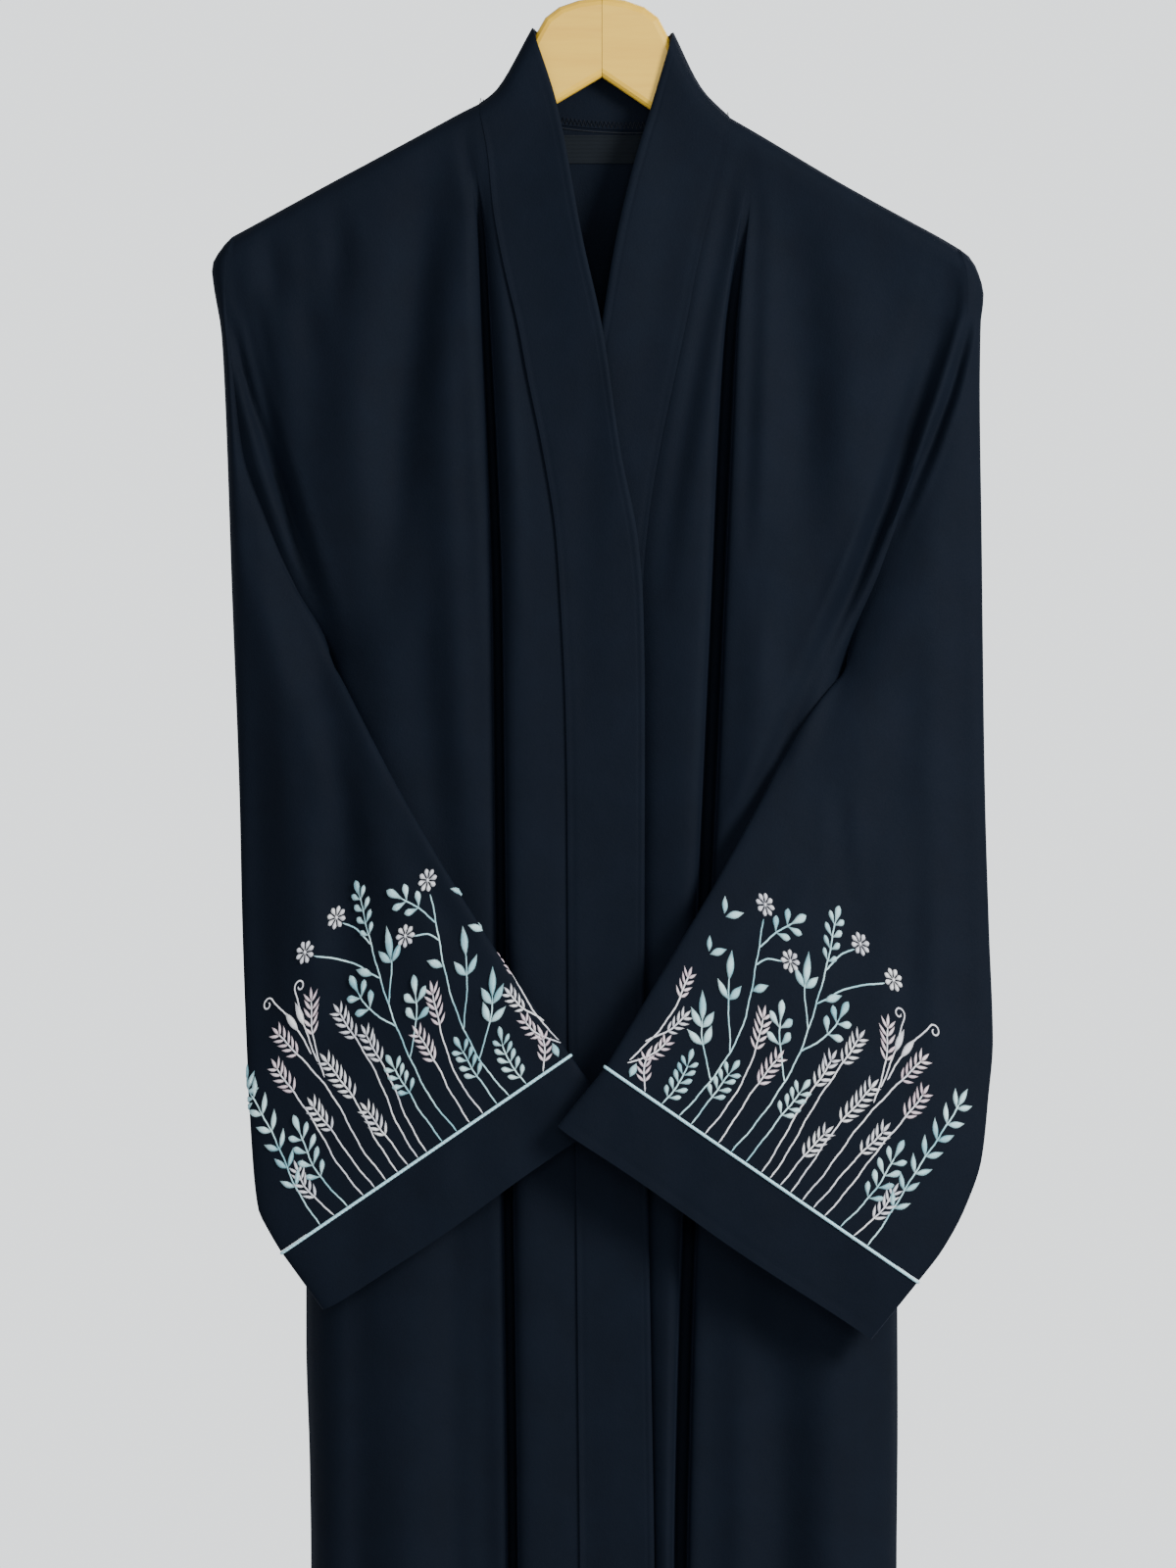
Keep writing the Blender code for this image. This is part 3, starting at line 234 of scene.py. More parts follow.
BAND_FREE = {  # the front band's free edge
    "left": table(
        "z out", (-78, 40), (-121.6, 25.9), (-200, 10.9), (-249, 0), (-321, -10.7), (-373, -20.8), (-408, -23.6),
        (-466, -24.6), (-658, -24.2), (-748, -26.4), (-875, -28.7), (-962, -30), (HEM, -32.5),
    ),
    "right": table(
        "z out", (-80.6, 41), (-124, 28), (-157, 18), (-200, 7.9), (-247, 0), (-300, -9), (-360, -18),
        (-410, -20.5), (-470, -21), (-658, -21), (-748, -19), (-875, -17), (-962, -15), (HEM, -13),
    ),
}
FORWARD = {  # how far forward the panel, the crest of its fold, the band's seam and the band are
    "left": table(
        "drop panel crest seam band", (0, 8.6, 8.6, 8.7, 9), (35, 8.8, 8.8, 9, 9.4), (80, 13, 14, 14, 15.2),
        (130, 18, 21, 20, 22), (200, 23, 29, 27.5, 29.2), (290, 26.5, 34.5, 32.5, 34), (400, 28, 35.5, 33.5, 35),
        (LONGEST, 28, 35.5, 33.5, 35),
    ),
    "right": table(
        "drop panel crest seam band", (0, 8.6, 8.6, 8.7, 9), (35, 8.8, 8.8, 9, 9.4), (80, 13, 14, 13.8, 14.8),
        (130, 18, 21, 19, 20.2), (200, 23, 29, 23.5, 24), (290, 26.5, 34, 27.2, 27.6), (400, 28, 35, 28, 28.5),
        (LONGEST, 28, 35, 28, 28.5),
    ),
}
BACKWARD = table(  # how far back the back panel is
    "drop panel", (0, 8.6), (35, 8.8), (90, 12), (160, 16.5), (300, 20.5), (LONGEST, 21.5),
)
SIDE_ROUND = table(  # share of a panel's width that rounds towards the side seam
    "z share", (-190, 0.2), (-330, 0.3), (-440, 0.55), (-520, 0.5), (-650, 0.26), (-800, 0.2), (HEM, 0.2),
)
ARMHOLE_HALF = 0.0086  # half the armhole's opening from front to back
SLEEVE_OUTER = {  # outline of the sleeve, from the shoulder tip down to the cuff
    "left": table(
        "z out", (-198, 212.5), (-206, 219.5), (-216, 224), (-227, 222.8), (-253, 218.5), (-287, 216.5),
        (-325, 215), (-400, 212.5), (-523, 207.9), (-587, 206.4), (-662, 203.6), (-720, 200.5), (-754, 197),
        (-769, 190), (-779, 184),
    ),
    "right": table(
        "z out", (-205, 206), (-209.5, 211), (-217, 215.5), (-232, 219.2), (-248, 217.5), (-287, 217),
        (-366, 218), (-456, 219), (-523, 220), (-596, 222), (-659, 224), (-692, 221.2), (-726, 217.4),
        (-754, 207.9), (-779, 194.3), (-795.5, 181.5),
    ),
}
SLEEVE_INNER = {  # the sleeve's inner edge, from the underarm to the cuff
    "left": table("z out", (-438, 156), (-470, 140), (-523, 112), (-602, 64), (-640, 38), (-666, 19)),
    "right": table(
        "z out", (-446, 140), (-470, 120), (-500, 102), (-523, 90), (-570, 64), (-633.5, 26), (-672.4, 2.9),
    ),
}
SLEEVE_DEPTH = {  # from the underarm (share 0) to the piping (share 1): how far forward each edge is, and half depths
    "left": table(
        "share outer inner front back", (0, 0, 1, 16.9, 7), (0.1, 3, 15, 13.5, 5.8), (0.25, 9, 28, 9.7, 5.5),
        (0.5, 19, 43, 7.5, 5.5), (0.75, 31, 47, 6.8, 5.8), (1, 41, 47.5, 6.8, 5.8),
    ),
    "right": table(
        "share outer inner front back", (0, 0, 1, 16.9, 7), (0.1, 3, 15, 13.5, 5.8), (0.25, 9, 28, 9.7, 5.5),
        (0.5, 20, 45, 7.5, 5.5), (0.75, 36.5, 55.5, 7, 5.8), (1, 50, 62.8, 7, 6),
    ),
}
DEPTHS = ("outer", "inner", "front", "back")
KEEP_FRONT, KEEP_BACK = 0.90, 0.30  # shares of the armhole's half opening that the tube keeps as it closes
SLEEVE_BULGE = table(  # how far the sleeve stands out, from the shoulder tip (0) to the underarm (1)
    "share front back", (0, 0, 0), (0.1, 0.4, 0.2), (0.3, 2, 1), (0.6, 5.8, 2.8), (1, 9.2, 4.4),
)
OUTER_LEAD = 1.12  # the sleeve's rows reach further down on its outer side than at the armhole,
OUTER_START = 0.008  # and start off down it beside the shoulder,
OUTER_EASE = 0.004  # within about this drop
FLAT = 0.30  # power of the flattened tube's profile: 0.5 is an ellipse and less is flatter
ROUND = 0.50  # the same where the sleeve is narrow, beside the shoulder
OPEN = 1.20  # the same beside the armhole's edge, where the sleeve leaves the panel smoothly
REST = 0.0026  # clear space where one piece lies on another
HOLLOW = 0.0062  # least distance between a sleeve's two outer faces where it lies on the body
CUFF = {  # corners of the cuff: (out, z) at its outer and inner ends, at the piping and at the hem
    "left": {"piping": ((0.184, -0.779), (0.019, -0.666)), "hem": ((0.158, -0.815), (-0.0067, -0.702))},
    "right": {"piping": ((0.1815, -0.7955), (0.0029, -0.6724)), "hem": ((0.1536, -0.830), (-0.0259, -0.708))},
}
PIPING = 0.0026  # diameter of the piping cord
FRONT_FOLDS = {  # soft hanging folds: where each starts and ends, its half width and how far it rises
    "left": table(
        "top_z top_out foot_z foot_out half rise", (-140, 94, -420, 126, 12, -4.5),
        (-180, 150, -360, 172, 12, -2.2), (-225, 203, -420, 166, 6.5, -6), (-600, 110, -1900, 120, 22, 4),
        (-500, 85, -1900, 78, 9, -2.5), (-760, 140, -1900, 146, 10, -3),
    ),
    "right": table(
        "top_z top_out foot_z foot_out half rise", (-206, 196, -430, 140, 7.5, -8),
        (-160, 118, -420, 122, 14, -2.5), (-560, 98, -1900, 102, 14, -3.5), (-620, 128, -1900, 134, 16, 4),
        (-800, 70, -1900, 72, 8, -2.5),
    ),
}
BACK_WIDTH = 0.34  # the back's width where it hangs free, which its folds' places are measured on
BACK_FOLDS = table(  # "out" is the place across the back, from its left edge
    "top_z top_out foot_z foot_out half rise", (-150, 102, -1900, 81.6, 17, -9.5),
    (-150, 234.6, -1900, 261.8, 16, -8.5), (-300, 142.8, -1900, 136, 22, 6), (-260, 190.4, -1900, 193.8, 15, -7),
    (-420, 227.8, -1900, 227.8, 18, 5.5), (-620, 44.2, -1900, 40.8, 14, -4.5),
    (-560, 163.2, -1900, 159.8, 13, -5), (-700, 299.2, -1900, 300.9, 13, -4),
)
SLEEVE_FOLDS = {  # in thousandths: "z" of the way down (0 underarm) and "out" of the way across (0 outer edge)
    "left": table(
        "top_z top_out foot_z foot_out half rise", (-200, 550, 750, 420, 110, -3.5), (100, 800, 900, 720, 80, 2),
    ),
    "right": table(
        "top_z top_out foot_z foot_out half rise", (-200, 500, 700, 500, 120, -3), (300, 220, 1100, 160, 80, 2.2),
    ),
}


# %% Curves through the tables
def mix(a, b, share):
    """The value that share of the way from a to b."""
    return a + (b - a) * share


def ease(share):
    """A share that starts and ends slowly."""
    return share**2 * (3 - 2 * share)


def curve(start, end, leave, arrive, t):
    """The place at share t of a curve that leaves its start and arrives at its end with those runs."""
    return mix(start, end, ease(t)) + leave * (t**3 - 2 * t**2 + t) + arrive * (t**3 - t**2)


def smooth(xs, ys, x):
    """Value at x of a smooth curve through the points that never overshoots them."""
    order = np.argsort(xs)
    xs, ys = np.asarray(xs, float)[order], np.asarray(ys, float)[order]
    steps = np.diff(xs)
    slopes = np.diff(ys) / steps
    tangents = np.concatenate([slopes[:1], np.zeros(len(xs) - 2), slopes[-1:]])
    rising = slopes[:-1] * slopes[1:] > 0
    harmonic = 2 * slopes[:-1] * slopes[1:] / np.where(rising, slopes[:-1] + slopes[1:], 1)
    tangents[1:-1] = np.where(rising, harmonic, 0)
    x = float(np.clip(x, xs[0], xs[-1]))
    i = int(np.clip(np.searchsorted(xs, x) - 1, 0, len(steps) - 1))
    t = (x - xs[i]) / steps[i]
    return float(curve(ys[i], ys[i + 1], steps[i] * tangents[i], steps[i] * tangents[i + 1], t))


def read(rows, column, at, key="z"):
    """A table's column at that value of its key column."""
    return smooth(rows[key], rows[column], at)


def array(rows):
    """Rows of points as one array."""
    return np.array([[tuple(point) for point in row] for row in rows])


def over_the_arm(drop):
    """How far round the hanger's arm the cloth has turned, from 0 on top to 1 where it hangs free."""
    return math.sqrt(max(0.0, 1 - (1 - min(drop / ROLL, 1)) ** 2))


def soft_folds(rows, across, along):
    """Forward rise of a piece at a point: each fold is a smooth hump along a straight line, fading at its ends."""
    total = 0.0
    for top, top_out, foot, foot_out, half, rise in zip(*rows.values()):
        run = (along - top) / (foot - top)
        if 0 < run < 1:
            hump = math.exp(-(((across - mix(top_out, foot_out, run)) / half) ** 2))
            total += rise * hump * math.sin(math.pi * run) ** 0.5
    return total


def through(points, counts):
    """Points along a smooth curve through the given ones, with counts squares between each two."""
    points = [np.asarray(p, float) for p in points]
    ends = [2 * points[0] - points[1], *points, 2 * points[-1] - points[-2]]
    found = []
    for i, count in enumerate(counts):
        before, start, end, after = ends[i : i + 4]
        come, reach, go = (np.linalg.norm(b - a) for a, b in ((before, start), (start, end), (end, after)))
        leave = (end - before) * reach / max(reach + come, 1e-9)
        arrive = (after - start) * reach / max(go + reach, 1e-9)
        found += [curve(start, end, leave, arrive, t) for t in np.arange(count) / count]
    return [*found, points[-1]]


# %% [markdown]
# ## Creases
# Crepe that hangs from a shoulder makes soft troughs that start at a point of tension, run down towards the hem
# and fade. Each one is given as a bent line with its own width and depth, because creases that are
# spaced by a formula look like pleats. A trough pushes up a small ridge on both sides. The last trace is a slow
# uneven wander of the whole surface, which no hanging cloth is free of.

# %% Creases
RIDGE = 0.32  # height of the small ridge on both sides of a trough, as a share of its depth
# Each crease: half width and depth in mm (minus is a trough), then its points (x, z) in mm.
CREASES = {
    "front_left": [
        (13, -3.4, (-96, -138), (-104, -200), (-112, -260), (-118, -310), (-112, -390)),
        (14, 2.0, (-140, -184), (-148, -260), (-138, -380)),
        (8, 1.8, (-84, -190), (-88, -270), (-86, -400), (-80, -560)),
        (7, -2.4, (-193, -190), (-190, -212), (-187, -240)),
        (6, -2.0, (-153, -184), (-150, -205), (-153, -230)),
        (6, -1.3, (-172, -230), (-165, -270)),
        (4, -1.8, (-77, -134), (-78, -152), (-74, -174)),
        (5, -5.5, (-212, -232), (-206, -262), (-199, -290), (-190, -322), (-179, -358), (-166, -398), (-158, -420)),
        (6, -3.2, (-68, -150), (-67, -210), (-64, -280), (-60, -360), (-58, -440)),
        (12, -2.6, (-106, -400), (-102, -470), (-92, -560)),
        (7, -2.2, (-70, -740), (-67, -900), (-63, -1200), (-61, -1510)),
        (16, 2.2, (-106, -790), (-105, -1100), (-102, -1480)),
        (13, -2.4, (-140, -830), (-137, -1100), (-143, -1510)),
    ],
    "front_right": [
        (5.5, -9.0, (202, -222), (193, -256), (185, -285), (176, -318), (167, -348), (154, -378), (142, -404),
         (130, -430)),
        (5, -3.0, (148, -392), (128, -432), (115, -462), (101, -494), (87, -522), (72, -550), (56, -580)),
        (4, -3.0, (208, -228), (202, -250), (194, -276), (187, -300)),
        (6, -2.6, (80, -146), (68, -205), (57, -258), (47, -310), (39, -360), (33, -410)),
        (13, -3.0, (103, -172), (106, -240), (113, -310), (112, -372)),
        (13, 2.0, (142, -204), (146, -270), (134, -350)),
        (5, -2.2, (84, -148), (88, -190), (86, -260), (82, -380)),
        (8, 1.8, (94, -390), (90, -470), (78, -545)),
        (12, -3.2, (106, -790), (103, -950), (100, -1200), (103, -1510)),
        (8, -1.8, (64, -780), (61, -900), (59, -1300)),
        (13, 2.2, (136, -840), (138, -1100), (141, -1500)),
    ],
    "armhole_left": [
        (2.6, -2.6, (-217, -236), (-209, -264), (-200, -296), (-191, -322), (-184, -346)),
        (2.4, 1.2, (-210, -238), (-204, -266), (-196, -298), (-188, -328)),
    ],
    "armhole_right": [
        (3.0, -3.4, (214, -240), (208, -260), (201, -286), (190, -316), (180, -341), (170, -364)),
        (4.0, 1.8, (204, -244), (197, -270), (189, -298), (180, -326)),
    ],
    "back": [
        (13, -3.8, (-152, -186), (-130, -300), (-113, -430), (-108, -600)),
        (9, -2.6, (-187, -214), (-170, -290), (-158, -370)),
        (15, 3.2, (-84, -190), (-76, -420), (-80, -700)),
        (12, -3.6, (-30, -152), (-34, -330), (-28, -560), (-36, -820)),
        (8, -2.2, (18, -140), (14, -230), (20, -350)),
        (14, -4.0, (62, -168), (58, -360), (66, -640), (64, -1000)),
        (11, -2.8, (128, -196), (118, -300), (112, -420)),
        (8, -3.0, (188, -216), (172, -300), (158, -392)),
        (16, 3.4, (104, -520), (108, -820), (112, -1200)),
        (13, -3.4, (138, -560), (142, -900), (146, -1400)),
        (12, -3.2, (-138, -520), (-140, -860), (-150, -1460)),
        (10, -2.6, (4, -620), (-2, -900), (6, -1300)),
        (15, 2.8, (-52, -760), (-56, -1100), (-60, -1500)),
        (9, -2.2, (88, -900), (92, -1200), (96, -1510)),
    ],
    "band_left": [
        (9, -1.0, (6, -210), (-4, -290), (-12, -400), (-9, -500)),
        (10, 0.8, (-20, -560), (-22, -720)),
        (8, -0.9, (-8, -840), (-10, -1000), (-8, -1300)),
    ],
    "band_right": [
        (9, -1.0, (44, -150), (34, -220), (22, -300)),
        (9, 0.8, (14, -420), (10, -560)),
        (8, -0.9, (14, -860), (16, -1100), (14, -1400)),
    ],
    "sleeve_left": [
        (12, -5.5, (-192, -365), (-170, -425), (-153, -478), (-146, -525), (-143, -600)),
        (12, 3.4, (-174, -460), (-168, -530), (-165, -650)),
        (9, -3.4, (-201, -450), (-198, -560), (-196, -670)),
        (6, -2.0, (-210, -290), (-205, -340), (-198, -400)),
        (7, -1.8, (-106, -552), (-88, -588), (-68, -620)),
    ],
    "sleeve_right": [
        (10, -3.0, (205, -340), (206, -460), (206, -600), (207, -690)),
        (5, -2.0, (136, -515), (137, -545), (141, -585)),
        (9, -2.0, (184, -530), (178, -600), (176, -670)),
        (15, 2.4, (168, -396), (152, -470), (150, -570)),
        (6, -1.6, (112, -556), (92, -590), (70, -624)),
    ],
    "sleeve_left_back": [
        (9, -3.4, (-206, -280), (-194, -370), (-164, -466)),
        (12, -3.6, (-182, -430), (-164, -540), (-152, -660)),
        (10, 2.8, (-118, -530), (-128, -630), (-146, -720)),
        (8, -2.6, (-196, -520), (-194, -690)),
    ],
    "sleeve_right_back": [
        (9, -3.2, (208, -290), (196, -380), (168, -456)),
        (13, -3.8, (176, -440), (160, -560), (150, -690)),
        (10, 2.6, (208, -470), (200, -600), (190, -720)),
        (8, -2.8, (112, -540), (104, -620), (108, -700)),
    ],
    "cuff_left": [
        (13, -1.6, (-150, -742), (-138, -804)),
        (12, 1.4, (-100, -712), (-86, -768)),
        (10, -1.4, (-50, -686), (-34, -738)),
    ],
    "cuff_right": [
        (12, -1.6, (142, -776), (128, -828)),
        (13, 1.4, (98, -744), (84, -794)),
        (10, -1.4, (52, -710), (38, -764)),
        (8, -1.2, (12, -690), (-4, -732)),
    ],
}


def crease_rise(name, places):
    """Rise of the cloth, in metres, at an array of places, from the bent creases of that name."""
    x, z = places[..., 0], places[..., 2]
    total = np.zeros_like(x)
    for half, depth, *points in CREASES[name]:
        line = np.array(points, float) / 1000
        pieces = np.linalg.norm(np.diff(line, axis=0), axis=1)
        whole, gone = pieces.sum(), 0.0
        nearest, along = np.full(x.shape, 1e9), np.zeros_like(x)
        for start, end, length in zip(line[:-1], line[1:], pieces):
            run = (end - start) / length
            t = np.clip((x - start[0]) * run[0] + (z - start[1]) * run[1], 0, length)
            apart = np.hypot(x - start[0] - t * run[0], z - start[1] - t * run[1])
            closer = apart < nearest
            nearest, along = np.where(closer, apart, nearest), np.where(closer, gone + t, along)
            gone += length
        u = nearest / (half / 1000)
        shape = np.exp(-(u**2)) - RIDGE * np.exp(-(((u - 1.9) / 0.8) ** 2))
        total += depth / 1000 * shape * np.sin(np.pi * np.clip(along / whole, 0.02, 0.98)) ** 0.55
    return total


def wander(points, size, height, seed=0.0):
    """Slow uneven rise of a sheet: smooth noise of that size and height at every point."""
    flat = points.reshape(-1, 3) / size
    rise = [noise.noise(Vector((p[0] + seed, p[1] * 0.5, p[2] * 0.45 - seed))) for p in flat]
    return height * np.array(rise).reshape(points.shape[:2])


print("creases:", sum(len(rows) for rows in CREASES.values()))

# %% [markdown]
# ## A sheet of cloth
# Every cloth piece starts as a flat grid. Its corners are moved to rows of points on the garment, a real
# thickness is added on the inside, and a UV map in metres is laid along and across the cloth, so thread and
# stitches can follow it. Edges of a hem are marked sharp so that the wide faces beside them shade evenly.


# %% Sheets
def add(name, mesh, finish, nodes=(), sharp=0.9):
    """Makes a bmesh a smooth object that rides on the garment. Edges bent more than sharp (radians) stay sharp."""
    for edge in mesh.edges:
        edge.smooth = not (edge.is_manifold and edge.calc_face_angle(0) > sharp)
    data = bpy.data.meshes.new(name)
    mesh.to_mesh(data)
    mesh.free()
    data.materials.append(finish)
    data.polygons.foreach_set("use_smooth", [True] * len(data.polygons))
    made = put(name, data)
    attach(made, "root")
    if nodes:
        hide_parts(*nodes)
    return made


def lengths(points, axis):
    """Running length along the rows or columns of a grid of points."""
    steps = np.linalg.norm(np.diff(points, axis=axis), axis=2)
    start = np.zeros_like(np.take(steps, [0], axis=axis))
    return np.concatenate([start, np.cumsum(steps, axis=axis)], axis=axis)


def fade(points, width=0.007):
    """1 in a sheet and 0 on its sides and top edge, so that the seams stay where they are."""
    run, down = lengths(points, 1), lengths(points, 0)
    return ease(np.clip(np.minimum(np.minimum(run, run[:, -1:] - run), down) / width, 0, 1))


LAP = 0.0004  # how far a sheet reaches onto its neighbour, so that no light passes a seam
EDGES = {  # an edge of a grid, and the line of points beside it
    "top": (np.s_[0], np.s_[1]),
    "foot": (np.s_[-1], np.s_[-2]),
    "first": (np.s_[:, 0], np.s_[:, 1]),
    "last": (np.s_[:, -1], np.s_[:, -2]),
}


def unit(runs):
    """The directions of an array of runs."""
    return runs / np.maximum(np.linalg.norm(runs, axis=-1, keepdims=True), 1e-9)


def meet(points, *edges):
    """Moves edges of a sheet on, onto its neighbours."""
    for at, beside in (EDGES[edge] for edge in edges):
        points[at] += LAP * unit(points[at] - points[beside])


def hung(points, start):
    """0 at a sheet's top edge and 1 from that far below it."""
    return np.clip((points[0, :, 2] - points[..., 2]) / start, 0, 1)


def grid(points, inside, closed=False):
    """A grid mesh with its corners moved to rows of points, facing away from a point inside, and its UV map."""
    down, across = points.shape[:2]
    mesh = bmesh.new()
    uv = mesh.loops.layers.uv.new("UVMap")
    bmesh.ops.create_grid(mesh, x_segments=across - 1, y_segments=down - 1, size=0.5)
    u, v = lengths(points, 1).ravel(), lengths(points, 0).ravel()
    mesh.verts.ensure_lookup_table()
    for face in mesh.faces:
        for loop in face.loops:
            loop[uv].uv = (u[loop.vert.index], v[loop.vert.index])
    for vert, point in zip(mesh.verts, points.reshape(-1, 3)):
        vert.co = point
    if closed:
        bmesh.ops.remove_doubles(mesh, verts=mesh.verts, dist=1e-6)
    mesh.normal_update()
    inside = Vector(inside)
    if sum((face.calc_center_median() - inside).dot(face.normal) * face.calc_area() for face in mesh.faces) < 0:
        bmesh.ops.reverse_faces(mesh, faces=mesh.faces)
        mesh.normal_update()
    return mesh


HEM_SHARP = 1.3  # sharp enough for a cut edge, and more than any crease


def cloth(name, points, thickness, finish, inside, node_name=None, closed=False):
    """A sheet of cloth with a thickness, which stands for the solid of the same name."""
    mesh = grid(points, inside, closed)
    sum(face.calc_area() for face in mesh.faces)
    bmesh.ops.solidify(mesh, geom=mesh.faces[:], thickness=thickness)
    made = add(name, mesh, finish, [node_name] if node_name else (), sharp=HEM_SHARP)
    width, length = lengths(points, 1)[:, -1].max(), lengths(points, 0)[-1].max()


BEHIND, BEFORE = (0, 9, -0.7), (0, -9, -0.7)  # far points that a sheet's outer face looks away from

# %% [markdown]
# ## Black crepe
# The cloth is nida, a fine polyester crepe: hard-twisted yarns shrink into a fine pebble, so it is matt, very
# dark and only slightly blue, with a soft bloom of light where it turns away. The pebble is about 0.4 mm; it is
# drawn at about 1 mm here, because a finer one would not show. A slower unevenness stands for handling.

# %% Crepe
nida = material(
    "black_nida_crepe", "#04070c", Roughness=0.72, Sheen_Weight=0.05, Sheen_Roughness=0.35,
    Sheen_Tint=linear("#7f93bd"), Specular_IOR_Level=0.07,
)
place = node(nida, "ShaderNodeTexCoord", out="Object")
pebble = node(nida, "ShaderNodeTexNoise", {"Scale": 950, "Detail": 2.5, "Roughness": 0.6}, {"Vector": place})
slow = node(nida, "ShaderNodeTexNoise", {"Scale": 34, "Detail": 3, "Roughness": 0.55}, {"Vector": place})
tone = node(nida, "ShaderNodeMixRGB", tones("#060b14", "#09101b"), {"Fac": slow})
rough = node(nida, "ShaderNodeMapRange", {"To Min": 0.70, "To Max": 0.86}, {"Value": pebble})
soft = node(nida, "ShaderNodeBump", {"Strength": 0.35, "Distance": 0.0022}, {"Height": slow})
fine = node(nida, "ShaderNodeBump", {"Strength": 0.45, "Distance": 0.00035}, {"Height": pebble, "Normal": soft})
feed(nida, Base_Color=tone, Roughness=rough, Normal=fine)
print("crepe: 1 mm pebble, 30 mm unevenness")

# %% [markdown]
# ## Fronts and back
# A front is cut as one long panel from shoulder to hem. Beside the band it folds deeply under itself, because
# the cloth between the neck and the shoulder is wider than the hanger needs. Each row of points runs from the
# side, over the chest and through that fold to the band.

# %% Rows of the body
DROPS = [0, 0.0015, 0.004, 0.008, 0.014, 0.022, 0.031, *np.arange(0.038, FRAME_LENGTH - 0.004, 0.0068), FRAME_LENGTH]
FRACTIONS = [drop / FRAME_LENGTH for drop in DROPS]
FRONT_COUNTS = (3, 7, 10, 14, 14, 4, 3, 3, 3, 3, 3, 3, 6, 3)  # squares between the points of front_controls
LIP = 0.007  # width of the turn into the deep fold
ROUNDING = ((0, 0), (0.16, 0.38), (0.50, 0.74), (1, 0.95))  # how far a side has rounded in, and how far it has risen
INTO_FOLD = ((1, 0.12), (0.8, 0.55), (0.45, 0.92))  # half widths from the fold's middle, and how deep it is there
FOLD_START = 0.06  # a hanging fold has its full rise this far below the top edge


def shoulder_z(side, out):
    """Height of the shoulder seam."""
    return read(SHOULDER[side], "z", out, "out")


def armhole_half(fraction):
    """How far the armhole's edge stands from the plane of the shoulder seam, on this row."""
    drop = fraction * FRAME_LENGTH
    share = min(drop / UNDERARM_DROP, 1)
    return HALF_SEAM + ARMHOLE_HALF * over_the_arm(drop) * math.sqrt(1 - share**5)


def front_controls(side, fraction):
    """(out, forward) of the points that a row of a front panel passes through, from its outer edge to the band."""
    tops = SHOULDER[side]["z"][-1], FOLD[side]["z"][0], SHOULDER[side]["z"][0]
    edge_z, fold_z, seam_z = (mix(top, HEM_Z, fraction) for top in tops)
    edge = read(PANEL_EDGE[side], "out", edge_z)
    fold, half, depth = (read(FOLD[side], name, fold_z) for name in ("out", "half", "depth"))
    seam = read(BAND[side], "sewn", seam_z)
    drop = fraction * FRAME_LENGTH
    panel, crest, sewn = (read(FORWARD[side], name, drop, "drop") for name in ("panel", "crest", "seam"))
    start = armhole_half(fraction)
    share = read(SIDE_ROUND, "share", edge_z)
    span = edge - fold
    lip = min(LIP, 0.1 * span)
    roll = fold - half - seam
    wide, deepest = INTO_FOLD[-1]
    return [
        *((edge - way * share * span, start + risen * (panel - start)) for way, risen in ROUNDING),
        (mix(edge - share * span, fold + half + lip, 0.5), panel),
        (fold + half + lip, panel),
        *((fold + at * half, panel - deep * depth) for at, deep in INTO_FOLD),
        (fold - wide * half, panel - deepest * depth),
        *((fold - at * half, mix(crest, panel - depth, deep)) for at, deep in INTO_FOLD[1::-1]),
        (fold - half - min(0.006, 0.25 * roll), crest),
        (mix(fold - half, seam, 0.72), mix(crest, sewn, 0.45)),
        (seam, sewn),
    ]


def row_points(side, fraction, tops):
    """A row's points in the frame: the controls' curve, each point hung below its own place on the top edge."""
    controls = zip(front_controls(side, fraction), tops)
    return through([(out, forward, mix(top, HEM_Z, fraction)) for (out, forward), top in controls], FRONT_COUNTS)


def front_rows(side):
    """Points of a front's outer face, from the shoulder seam to the hem and from its outer edge to the band."""
    tops = [shoulder_z(side, out) for out, _ in front_controls(side, 0)]
    top_row = row_points(side, 0, tops)
    rows = []
    for fraction in FRACTIONS:
        row = []
        for column, (out, forward, z) in enumerate(row_points(side, fraction, tops)):
            drop = top_row[column][2] - z
            forward += min(column, 6) / 6 * soft_folds(FRONT_FOLDS[side], out, z) * min(drop / FOLD_START, 1)
            if column:
                forward = HALF_SEAM + (forward - HALF_SEAM) * over_the_arm(drop)
            row.append((SIDES[side] * out, -forward, z))
        rows.append(row)
    points = array(rows)
    rise = crease_rise(f"front_{side}", points) + wander(points, 0.075, 0.0011)
    points[..., 1] -= rise * fade(points) * hung(points, 0.03)
    points[..., 1] -= crease_rise(f"armhole_{side}", points)
    meet(points, "top", "first", "last")
    return points


FRONT_ROWS = {side: front_rows(side) for side in SIDES}
for side, points in FRONT_ROWS.items():
    cloth(f"cloth_front_{side}", points, CLOTH, nida, BEHIND, node_name=f"front_{side}")


# %% The back
def thirds(*shares):
    """The shares, and two more between each pair of them."""
    return np.interp(np.linspace(0, len(shares) - 1, 3 * len(shares) - 2), range(len(shares)), shares)


BACK_SHARES = thirds(0, 0.010, 0.028, 0.055, 0.082, 0.109, 0.136, 0.163, 0.190, 0.217, 0.244, 0.272, 0.30)
NECK_COLUMNS = thirds(0, 0.02, 0.06, 0.13, 0.22, 0.31, 0.405, 0.5, 0.595, 0.69, 0.78, 0.87, 0.94, 0.98, 1)


